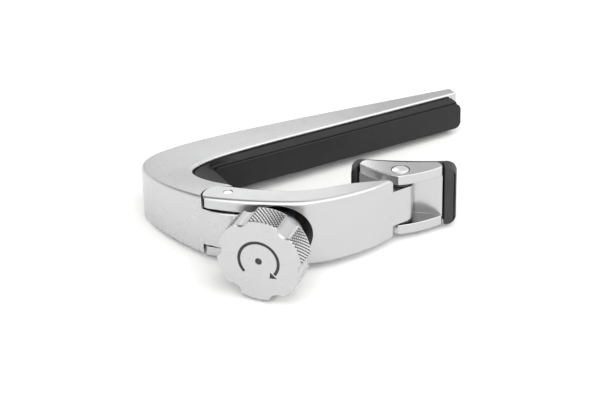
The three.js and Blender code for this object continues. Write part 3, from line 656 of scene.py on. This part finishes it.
def build_carrier():
    rings = []
    for outer, inner, length in list(zip(frame_outer, frame_inner, frame_lengths))[16::2]:
        away = (inner - outer) / np.linalg.norm(inner - outer)
        back = inner + away * CARRIER_GAP
        if back[0] > CARRIER_END_X - 1e-3:
            break
        rings.append(carrier_ring(back, length, 0))
    last = np.array([CARRIER_END_X - 0.5, back[1]])
    for angle in np.radians(np.linspace(0, 84, 6)):
        inset = 0.5 * (1 - math.cos(angle))
        rings.append(carrier_ring(last + np.array([0.5 * math.sin(angle), 0]), length, inset))
    body = loft("pad_carrier", rings)
    return piece(body, "frame", ["string_pad_carrier"], RUBBER)


def carrier_ring(back, length, inset):
    front_y = CARRIER_FRONT
    if back[0] < THROAT_STOP_X:
        front_y = min(max(back[1], -11.4), CARRIER_FRONT)
    front = np.array([max(back[0], THROAT_STOP_X), front_y])
    back_half = frame_half_height(length) - CARRIER_BELOW_FRAME - inset
    front_half = min(PAD_HALF_HEIGHT + 0.35 - inset, back_half)
    toward = front - back
    width = np.linalg.norm(toward)
    toward = toward / width
    soft = 0.3
    upper = []
    for a in np.linspace(math.pi, math.pi / 2, 5):
        upper.append((soft + soft * math.cos(a), back_half - soft + soft * math.sin(a)))
    for t in np.linspace(0.1, 0.9, 5):
        upper.append((soft + (width - 2 * soft) * t, back_half + (front_half - back_half) * t))
    for a in np.linspace(math.pi / 2, 0, 5):
        upper.append((width - soft + soft * math.cos(a), front_half - soft + soft * math.sin(a)))
    rows = upper + [(along, -height) for along, height in reversed(upper)]
    return [(*(back + toward * along), height) for along, height in rows]


def build_string_pad():
    plan = rounded_bar((PAD_END_X - PAD_START_X) / 2, PAD_HALF_HEIGHT, PAD_CORNER, 10)
    centre = (PAD_START_X + PAD_END_X) / 2
    body = along_y("string_pad_face", [(x + centre, z) for x, z in plan], 0, PAD_FACE_THICKNESS)
    round_edges(body, 0.14, 4, 50)
    channel = 1.5
    rib = along_y("rib", [(-18.7, -channel), (29.7, -channel), (29.7, channel), (-18.7, channel)], 0.2, 1.9)
    join(body, rib)
    piece(body, "frame", ["string_pad"], SOFT_RUBBER)
    return body


# ------------------------------------------------------------------ lever


def build_lever():
    total = lever_lengths[-1]
    rings = []
    for outer, inner, length in zip(lever_outer, lever_inner, lever_lengths):
        half_height = LEVER_ROOT_HALF_HEIGHT + LEVER_SWELL * math.sin(math.pi * length / total)
        rings.append(section(outer, inner, half_height, LEVER_FILLET, INNER_FILLET))
    body = loft("lever_arm", rings)
    trim = prism("trim", [(-60, -45), (-30.2, -45), (-30.2, 0), (-60, 0)], -TALL, TALL)
    cut(trim, prism("nose", nose_outline(0), -TALL - 1, TALL + 1))
    cut(body, trim)
    slot = TONGUE_HALF_HEIGHT + EAR_GAP
    clear = [at_screw(-30, -14), at_screw(0, -14), at_screw(0, ANVIL_FACE), at_screw(-7.7, ANVIL_FACE),
             at_screw(-7.7, 8), at_screw(-30, 8)]
    cut(body, prism("slot", clear, -slot, slot),
        turned("scoop", [(0, -14), (SCOOP_RADIUS, -14), (SCOOP_RADIUS, SCOOP_FLOOR),
                         (ANVIL_RADIUS, SCOOP_FLOOR), (ANVIL_RADIUS, ANVIL_FACE + 0.01), (0,
                                                                                          ANVIL_FACE + 0.01)], 128, ON_SCREW),
        disc("plate_seat", 2.5, ANVIL_FACE - 1, PLATE_FACE + 1.1, ON_SCREW))
    step = outline(bezier((-15.5, -27.0), (-11.5, -27.7), (-6.9, -29.2), (-3.4, -30.8), 40),
                   [(-3.1, -34), (6, -34), (6, -20), (-15.5, -20)])
    cut(body, prism("tip", step, BARREL_HALF_HEIGHT, TALL), prism("tip", step, -TALL, -BARREL_HALF_HEIGHT))
    edge, top = 0.15, BARREL_HALF_HEIGHT
    barrel = turned("barrel", [(0, -top), (BARREL_RADIUS - edge, -top), (BARREL_RADIUS, -top + edge),
                               (BARREL_RADIUS, top - edge), (BARREL_RADIUS - edge, top), (0, top)],
                    96, at(*HEAD_PIVOT))
    join(body, barrel)
    cut(body, disc("pin_bore", PIN_RADIUS + 0.02, -TALL, TALL, ON_PIVOT),
        disc("head_bore", HEAD_BUSH_RADIUS + FIT, -TALL, TALL, at(*HEAD_PIVOT)),
        prism("groove", [at_screw(-9, 1.2), at_screw(-2.2, 3.0), at_screw(-2.2, 8), at_screw(-9, 8)],
              -SPRING_POCKET_HALF_HEIGHT, SPRING_POCKET_HALF_HEIGHT))
    piece(body, "lever", ["lever"], LEVER_METAL)
    # The scoop's wall and floor get the dark material as painted shade.
    paint_shade_on_faces(body, RECESS_SHADE_METAL, in_scoop)
    return body


def in_scoop(centre, normal):
    away = np.array(centre[:2]) - SCREW_FOOT
    radius = math.hypot(away @ ACROSS, centre[2])
    along = away @ ADVANCE
    wall = abs(radius - SCOOP_RADIUS) < 0.05 and along < SCOOP_FLOOR + 0.02
    floor = radius < SCOOP_RADIUS and ANVIL_FACE - 0.02 < along < SCOOP_FLOOR + 0.02
    return (wall and abs(np.array(normal[:2]) @ ADVANCE) < 0.3) or floor


# ------------------------------------------------------------------ knob and screw

KNURL_TEETH = 66
KNURL_ROWS = 6.6
KNURL_DEPTH = 0.38
KNOB_EDGE = 0.45
FLUTE_RADIUS = 2.3
FLUTE_CENTRE = KNOB_RADIUS + 1.35


def knob_radius(theta):
    """The knob's plan radius with its flutes, and how much of the knurl shows there."""
    step = 2 * math.pi / KNOB_FLUTES
    away = (theta - FLUTE_PHASE + step / 2) % step - step / 2
    side = FLUTE_CENTRE * math.sin(away)
    if abs(side) >= FLUTE_RADIUS:
        return KNOB_RADIUS, 1.0
    reach = FLUTE_CENTRE * math.cos(away) - math.sqrt(FLUTE_RADIUS ** 2 - side ** 2)
    if reach >= KNOB_RADIUS:
        return KNOB_RADIUS, min(1.0, (reach - KNOB_RADIUS) / 0.12)
    return reach, 0.0


def triangle_wave(x):
    return 1 - abs(2 * (x % 1.0) - 1)


def build_knob():
    around, along = 1056, 84
    length = KNOB_BACK - KNOB_FACE
    profile = [(KNOB_FACE, -KNOB_EDGE), (KNOB_FACE + 0.06, -KNOB_EDGE + 0.16), (KNOB_FACE + 0.22, -0.2),
               (KNOB_FACE + KNOB_EDGE, 0.0)]
    body_rows = [(KNOB_FACE + KNOB_EDGE + (length - 2 * KNOB_EDGE) * i / along, 0.0) for i in range(1, along)]
    profile += body_rows + [(KNOB_BACK - KNOB_EDGE, 0.0), (KNOB_BACK - 0.16, -0.26), (KNOB_BACK, -KNOB_EDGE)]
    rings = []
    for height, inset in profile:
        depth = min(height - KNOB_FACE - KNOB_EDGE * 0.7, KNOB_BACK - KNOB_EDGE * 0.7 - height)
        zone = min(1.0, max(0.0, depth / 0.12))
        ring = []
        for i in range(around):
            # Angles run from the across direction towards +Z.
            theta = 2 * math.pi * i / around
            radius, shown = knob_radius(theta)
            turn = KNURL_TEETH * theta / (2 * math.pi)
            rise = KNURL_ROWS * (height - KNOB_FACE) / length
            tip = min(triangle_wave(turn + rise), triangle_wave(turn - rise))
            radius += inset - KNURL_DEPTH * shown * zone * (1 - tip)
            ring.append((-radius * math.sin(theta), -radius * math.cos(theta), height))
        rings.append(ring)
    body = loft("knob_body", rings)
    body.data.transform(ON_SCREW)
    cut(body, disc("screw_seat", SCREW_RADIUS + 0.05, KNOB_BACK - 4.6, KNOB_BACK + 1, ON_SCREW))
    marks = mark_shapes()
    for k, plan in enumerate(marks):
        cut(body, mark_solid(f"mark{k}", plan, KNOB_FACE - 1, KNOB_FACE + 0.35))
    mark_valleys(body)
    piece(body, "knob", ["knob"], KNOB_METAL, sharp=40)
    fills = [mark_solid(f"fill{k}", plan, KNOB_FACE + 0.22, KNOB_FACE + 0.34) for k, plan in enumerate(marks)]
    fill = join(fills[0], *fills[1:])
    fill.name = "knob_mark_fill"
    fill.data.materials.clear()
    fill.data.materials.append(MARK_PAINT)
    shade(fill)
    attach(fill, "knob")


def mark_valleys(obj):
    """Stores at every point how deep it lies in the knurl, from 0 on the crests to 1 in the valleys."""
    to_screw = ON_SCREW.inverted()
    depths = []
    for vertex in obj.data.vertices:
        x, y, height = (c / MM for c in to_screw @ vertex.co)
        radius, shown = knob_radius(math.atan2(-x, -y) % (2 * math.pi))
        depth = (radius - math.hypot(x, y)) / KNURL_DEPTH
        inside = KNOB_FACE + KNOB_EDGE * 0.7 < height < KNOB_BACK - KNOB_EDGE * 0.7
        depths.append(min(1.0, max(0.0, depth)) if inside and shown > 0 and depth < 1.2 else 0.0)
    attribute = obj.data.attributes.new("valley", "FLOAT", "POINT")
    attribute.data.foreach_set("value", depths)


def mark_shapes():
    """A generic turn arrow: an open ring with an arrowhead and a round dot in the middle."""
    middle, half = 4.3, 0.33
    start, end = math.radians(-38), math.radians(222)
    angles = np.linspace(start, end, 64)
    ring = [((middle + half) * math.cos(a), (middle + half) * math.sin(a)) for a in angles]
    ring += [((middle - half) * math.cos(a), (middle - half) * math.sin(a)) for a in angles[::-1]]
    tip = start - 0.34
    head = [((middle + 1.0) * math.cos(start - 0.06), (middle + 1.0) * math.sin(start - 0.06)),
            ((middle - 1.0) * math.cos(start - 0.06), (middle - 1.0) * math.sin(start - 0.06)),
            (middle * math.cos(tip), middle * math.sin(tip))]
    dot = [(0.75 * math.cos(a), 0.75 * math.sin(a)) for a in np.linspace(0, 2 * math.pi, 48, endpoint=False)]
    return [ring, head, dot]


def mark_solid(name, plan, low, high):
    obj = loft(name, [[(-y, -x, low) for x, y in plan], [(-y, -x, high) for x, y in plan]])
    obj.data.transform(ON_SCREW)
    return obj


def build_screw():
    around, per_pitch = 72, 10
    start, end = KNOB_BACK - 4.3, SCREW_END
    rows = int((end - start) / THREAD_PITCH * per_pitch)
    rings = []
    for k in range(rows + 1):
        height = start + (end - start) * k / rows
        room = min(height - start, end - height)
        cap = SCREW_RADIUS - 0.42 + min(0.42, room * 1.1)
        ring = []
        for i in range(around):
            theta = 2 * math.pi * i / around
            wave = triangle_wave(height / THREAD_PITCH - theta / (2 * math.pi))
            radius = SCREW_RADIUS - 0.4 * (1 - min(1.0, max(0.0, wave * 1.25 - 0.1)))
            radius = min(radius, cap)
            ring.append((radius * math.cos(theta), radius * math.sin(theta), height))
        rings.append(ring)
    body = loft("screw_thread", rings)
    body.data.transform(ON_SCREW)
    cut(body, disc("tip_bore", 1.15, SCREW_END - 3, SCREW_END + 1, ON_SCREW))
    return piece(body, "knob", ["adjusting_screw"], STEEL)


def build_turned_parts():
    """The small round parts, each with its edges broken."""
    soft = 0.06

    def ring_profile(inner, outer, low, high):
        return [(inner + soft, low), (outer - soft, low), (outer, low + soft), (outer, high - soft),
                (outer - soft, high), (inner + soft, high), (inner, high - soft), (inner, low + soft),
                (inner + soft, low)]

    def add(name, body, node, slot, material, profile, place):
        return piece(turned(name, profile, 96, place), body, [node], material)

    bore, seat = SCREW_RADIUS + 0.08, 3.0
    add("thread_bushing", "frame", "screw_bushing", "brass", BRASS,
        [(bore, BUSHING_COLLAR + 0.2), (bore + 0.2, BUSHING_COLLAR), (BUSHING_RADIUS - 0.15, BUSHING_COLLAR),
         (BUSHING_RADIUS, BUSHING_COLLAR + 0.15), (BUSHING_RADIUS, BOSS_FACE - soft),
         (BUSHING_RADIUS - soft, BOSS_FACE),
         (seat + soft, BOSS_FACE), (seat, BOSS_FACE - soft), (seat, BOSS_FACE - 0.9), (bore, BOSS_FACE - 0.9),
         (bore, BUSHING_COLLAR + 0.2)], ON_SCREW)
    add("friction_ring", "frame", "screw_friction_ring", "nylon", NYLON,
        ring_profile(SCREW_RADIUS + 0.1, 2.85, BOSS_FACE - 0.75, BOSS_FACE - 0.1), ON_SCREW)
    add("thrust_pad", "lever", "thrust_plate", "polished_steel", STEEL,
        [(0, PLATE_FACE), (2.25 - soft, PLATE_FACE), (2.25, PLATE_FACE + soft), (2.25, PLATE_FACE + 0.79),
         (2.19, PLATE_FACE + 0.85), (0, PLATE_FACE + 0.85)], ON_SCREW)
    dome = [(1.75 * math.sin(a), TIP_FACE - 0.62 + 0.62 * math.cos(a))
            for a in np.linspace(math.pi / 2, 0, 14)]
    dome[-1] = (0, TIP_FACE)
    add("swivel_tip", "thrust", "thrust_tip", "polished_steel", STEEL,
        [(0, SCREW_END - 2.7), (0.8, SCREW_END - 2.7), (0.9, SCREW_END - 2.6), (0.9, SCREW_END + 0.25),
         (1.7, SCREW_END + 0.25), (1.75, SCREW_END + 0.3)] + dome, ON_SCREW)
    pin_top = LEVER_ROOT_HALF_HEIGHT
    add("hinge_pin", "frame", "lever_pin", "polished_steel", STEEL,
        [(0, -pin_top), (PIN_RADIUS - 0.12, -pin_top), (PIN_RADIUS, -pin_top + 0.12),
         (PIN_RADIUS, pin_top - 0.12),
         (PIN_RADIUS - 0.12, pin_top), (0, pin_top)], ON_PIVOT)
    head_top, cap = HEAD_HALF_HEIGHT, HEAD_PIN_CAP_RADIUS
    upper = [(HEAD_PIN_RADIUS, 6.15), (cap, 6.15), (cap, head_top - 0.2), (cap - 0.06, head_top - 0.06),
             (cap - 0.2, head_top), (0, head_top)]
    add("swivel_pin", "head", "head_pin", "polished_steel", STEEL,
        [(r, -h) for r, h in reversed(upper)] + upper, ON_HEAD)
    add("swivel_bush", "head", "head_bush", "brass", BRASS,
        ring_profile(HEAD_PIN_RADIUS + FIT, HEAD_BUSH_RADIUS, -BARREL_HALF_HEIGHT, BARREL_HALF_HEIGHT),
        ON_HEAD)
    for side, word in ((1, "upper"), (-1, "lower")):
        flip = Matrix.Identity(4) if side > 0 else UPSIDE_DOWN
        add(f"hinge_bush_{word}", "frame", f"pivot_bush_{word}", "brass", BRASS,
            ring_profile(PIN_RADIUS + FIT, BUSH_RADIUS, SPRING_POCKET_HALF_HEIGHT + 0.15,
                         TONGUE_HALF_HEIGHT - EAR_GAP), ON_PIVOT @ flip)
        add(f"hinge_washer_{word}", "frame", f"lever_washer_{word}", "nylon", NYLON,
            ring_profile(PIN_RADIUS + FIT, LEVER_WASHER_RADIUS, TONGUE_HALF_HEIGHT - EAR_GAP + 0.2,
                         TONGUE_HALF_HEIGHT + EAR_GAP - 0.25), ON_PIVOT @ flip)
        add(f"swivel_washer_{word}", "head", f"head_washer_{word}", "nylon", NYLON,
            ring_profile(HEAD_PIN_RADIUS + FIT, HEAD_WASHER_RADIUS, BARREL_HALF_HEIGHT + 0.2,
                         EAR_INNER - 0.2), ON_HEAD @ flip)


def build_spring():
    coil_radius, turns, pitch = 1.78, 3, 0.84
    start, swing = math.radians(20.5), math.radians(-360 * turns + 31)
    leg_a, leg_b, wire = 3.9, 6.4, 0.38
    rise = pitch * abs(swing) / (2 * math.pi)

    def on_coil(f):
        a = start + swing * f
        return np.array([PIVOT[0] + coil_radius * math.cos(a), PIVOT[1] + coil_radius * math.sin(a),
                         rise * (0.5 - f)])

    def heading(f):
        a = start + swing * f
        return np.array([math.sin(a), -math.cos(a), 0.0])

    path = [on_coil(0) - heading(0) * (leg_a - d) for d in np.linspace(0, leg_a, 12, endpoint=False)]
    path += [on_coil(f) for f in np.linspace(0, 1, 220)]
    path += [on_coil(1) + heading(1) * d for d in np.linspace(0, leg_b, 14)[1:]]
    path = np.array(path)
    tangents = np.gradient(path, axis=0)
    tangents /= np.linalg.norm(tangents, axis=1)[:, None]
    rings = []
    for centre, t in zip(path, tangents):
        side = np.cross(t, (0, 0, 1))
        side /= np.linalg.norm(side)
        up = np.cross(side, t)
        rings.append([centre + wire * (side * math.cos(a) + up * math.sin(a))
                      for a in np.linspace(0, 2 * math.pi, 14, endpoint=False)])
    return piece(loft("torsion_spring", rings), "frame", ["return_spring"], WIRE)


# ------------------------------------------------------------------ clamp head, in its own frame


def ear_plan():
    w = HEAD_HALF_WIDTH
    return outline(quadratic((0, -3.1), (4.9, -1.75), (w, 2.0), 24), [(w - 0.3, 3.2), (w - 1.25, 4.15)],
                   quadratic((w - 1.25, 4.15), (0, BACK_DIP), (-w + 1.25, 4.15), 32),
                   [(-w + 0.3, 3.2), (-w, 2.0)],
                   quadratic((-w, 2.0), (-4.9, -1.75), (0, -3.1), 24))


def wall_plan():
    w = HEAD_HALF_WIDTH
    return outline(quadratic((w, 2.0), (5.2, 2.9), (3.2, 2.9), 12),
                   quadratic((-3.2, 2.9), (-5.2, 2.9), (-w, 2.0), 12),
                   [(-w + 0.3, 3.2), (-w + 1.25, 4.15)],
                   quadratic((-w + 1.25, 4.15), (0, BACK_DIP), (w - 1.25, 4.15), 32), [(w - 0.3, 3.2)])


def build_cradle():
    ears = []
    for side in (1, -1):
        low, high = sorted((side * EAR_INNER, side * HEAD_HALF_HEIGHT))
        ears.append(round_edges(prism("ear", ear_plan(), low, high), 0.25, 4, 50))
    body = prism("clamp_head_cradle", wall_plan(), -EAR_INNER - 0.2, EAR_INNER + 0.2)
    join(body, *ears)
    key = along_y("key", [(-5.4, -4.6), (5.4, -4.6), (5.4, 4.6), (-5.4, 4.6)], 3.2, 4.2)
    join(body, key)
    for side in (1, -1):
        low, high = sorted((side * 6.0, side * 9.0))
        cut(body, disc("cap_seat", HEAD_PIN_CAP_RADIUS + 0.2, low, high))
    cut(body, disc("pin_bore", HEAD_PIN_RADIUS + 0.05, -9, 9))
    body.data.transform(ON_HEAD)
    piece(body, "head", ["clamp_cradle"], HEAD_METAL)
    # The ears' inner faces get the dark material as painted shade.
    paint_shade_on_faces(body, RECESS_SHADE_METAL, lambda centre, normal: (
        abs(abs(centre[2]) - EAR_INNER) < 0.03 and abs(normal[2]) > 0.9))
    return body


def build_head_pad():
    far, lip = HEAD_PAD_HALF_LENGTH, 2.2
    plan = outline([(far, lip + 0.5)], quadratic((far, 5.3), (far, 5.9), (far - 0.9, 5.85), 8),
                   quadratic((far - 0.9, 5.85), (0, 4.6), (-far + 0.9, 5.85), 40),
                   quadratic((-far + 0.9, 5.85), (-far, 5.9), (-far, 5.3), 8),
                   [(-far, lip + 0.5)], quadratic((-far, lip + 0.5), (-far, lip), (-far + 0.5, lip), 5),
                   [(-far + HEAD_PAD_LIP, lip), (-far + HEAD_PAD_LIP + 0.1, 3.6), (-far + 2.9, 4.6)],
                   quadratic((-far + 2.9, 4.6), (0, BACK_DIP + 0.3), (far - 2.9, 4.6), 32),
                   [(far - HEAD_PAD_WIDE_LIP - 0.1, 3.6), (far - HEAD_PAD_WIDE_LIP, lip)],
                   quadratic((far - 0.5, lip), (far, lip), (far, lip + 0.5), 5))
    height = HEAD_PAD_HALF_HEIGHT
    body = prism("head_cushion", plan, -height, height)
    radius = 2.1
    for sx in (-1, 1):
        for sz in (-1, 1):
            corner = outline([(far + 1, height - radius), (far, height - radius)],
                             quadratic((far, height - radius), (far - 0.25, height - 0.25),
                                       (far - radius, height), 14),
                             [(far - radius, height + 1), (far + 1, height + 1)])
            cut(body, along_y("corner", [(sx * x, sz * z) for x, z in corner], -2, 10))
    round_edges(body, 0.28, 4, 50)
    body.data.transform(at(HEAD_PAD_OFFSET, 0, -HEAD_PAD_DROP) @ Matrix.Rotation(HEAD_PAD_TILT, 4, "Z"))
    pocket = along_y("pocket", [(-5.8, -5.0), (5.8, -5.0), (5.8, 5.0), (-5.8, 5.0)], 2, 4.45)
    cut(body, pocket)
    body.data.transform(ON_HEAD)
    piece(body, "head", ["head_pad"], HEAD_RUBBER)
    return body


# ------------------------------------------------------------------ build everything

build_frame()
build_carrier()
build_string_pad()
build_lever()
build_knob()
build_screw()
build_turned_parts()
build_spring()
build_cradle()
build_head_pad()

# ------------------------------------------------------------------ floor, light and camera

# The capo rests on the knob's rim, the bend and the tip of the arm. The floor lies a hair under the
# plane through these three.
FLOOR_HEIGHT, FLOOR_SLOPE_X, FLOOR_SLOPE_Y = -5.55, 0.02062, 0.10177


def build_floor():
    half = 1500.0
    corners = [(-half, -half), (half, -half), (half, half), (-half, half)]
    verts = [(x, y, FLOOR_HEIGHT + FLOOR_SLOPE_X * x + FLOOR_SLOPE_Y * y) for x, y in corners]
    mesh = bpy.data.meshes.new("floor")
    mesh.from_pydata([tuple(c * MM for c in v) for v in verts], [], [(0, 1, 2, 3)])
    floor = bpy.data.objects.new("floor", mesh)
    bpy.context.scene.collection.objects.link(floor)
    n = Nodes("white_sweep")
    tone = n.ramp(n.noise(60, 2), (0.925, 0.923, 0.92), (0.935, 0.933, 0.93))
    n.set(Base_Color=tone, Roughness=0.75, Specular_IOR_Level=0.25)
    mesh.materials.append(n.material)


def area_light(name, place, aim, size, power, color=(1, 1, 1)):
    data = bpy.data.lights.new(name, "AREA")
    data.shape = "RECTANGLE"
    data.size, data.size_y = (s * MM for s in size)
    data.energy = power
    data.color = color
    light = bpy.data.objects.new(name, data)
    bpy.context.scene.collection.objects.link(light)
    light.location = Vector(place) * MM
    light.rotation_mode = "QUATERNION"
    light.rotation_quaternion = (Vector(aim) - Vector(place)).to_track_quat("-Z", "Y")
    light.visible_camera = False
    return light


def build_world():
    """A soft white studio: even all round, with a few broad brighter or darker zones."""
    world = bpy.data.worlds.new("studio")
    bpy.context.scene.world = world
    world.use_nodes = True
    tree = world.node_tree
    tree.nodes.clear()

    def node(kind, **settings):
        made = tree.nodes.new(kind)
        for key, value in settings.items():
            setattr(made, key, value)
        return made

    direction = node("ShaderNodeTexCoord").outputs["Generated"]
    total = node("ShaderNodeValue")
    total.outputs[0].default_value = WORLD_BASE
    level = total.outputs[0]
    for azimuth, elevation, width, strength in WORLD_ZONES:
        a, e = math.radians(azimuth), math.radians(elevation)
        dot = node("ShaderNodeVectorMath", operation="DOT_PRODUCT")
        dot.inputs[1].default_value = (math.cos(e) * math.cos(a), math.cos(e) * math.sin(a), math.sin(e))
        tree.links.new(direction, dot.inputs[0])
        lobe = node("ShaderNodeMapRange", interpolation_type="SMOOTHERSTEP")
        lobe.inputs["From Min"].default_value = math.cos(math.radians(width))
        lobe.inputs["From Max"].default_value = 1.0
        lobe.inputs["To Min"].default_value = 0.0
        lobe.inputs["To Max"].default_value = strength
        tree.links.new(dot.outputs["Value"], lobe.inputs["Value"])
        add = node("ShaderNodeMath", operation="ADD")
        tree.links.new(level, add.inputs[0])
        tree.links.new(lobe.outputs["Result"], add.inputs[1])
        level = add.outputs[0]
    background = node("ShaderNodeBackground")
    background.inputs["Color"].default_value = (1.0, 0.998, 0.993, 1)
    tree.links.new(level, background.inputs["Strength"])
    output = node("ShaderNodeOutputWorld")
    tree.links.new(background.outputs[0], output.inputs["Surface"])


# Azimuth from +X towards +Y, elevation, half width of the zone in degrees, and what it adds.
WORLD_BASE = 1.13
WORLD_ZONES = [
    (-130, 45, 42, 1.35),
    (-50, 50, 36, 1.1),
    (110, 62, 35, -0.85),
    (155, 42, 34, -0.35),
    (62, 22, 24, -0.4),
]

build_floor()
build_world()
area_light("card", (22, 84, 68), (-30, -17, 7), (62, 26), 0.0062)


def build_camera():
    data = bpy.data.cameras.new("camera")
    camera = bpy.data.objects.new("camera", data)
    bpy.context.scene.collection.objects.link(camera)
    right = Vector((0.87888, -0.47657, -0.02109))
    up = Vector((0.24704, 0.41687, 0.87474))
    back = -Vector((0.40809, 0.77401, -0.48412))
    rotation = Matrix((right, up, back)).transposed()
    camera.rotation_mode = "QUATERNION"
    camera.rotation_quaternion = rotation.to_quaternion()
    camera.location = Vector((-183.62, -329.26, 195.47)) * MM
    data.sensor_width = 36.0
    data.lens = 1873.4 / 600 * 36.0
    data.clip_start, data.clip_end = 0.01, 20.0
    bpy.context.scene.camera = camera


build_camera()
bpy.context.scene.view_settings.view_transform = "Standard"
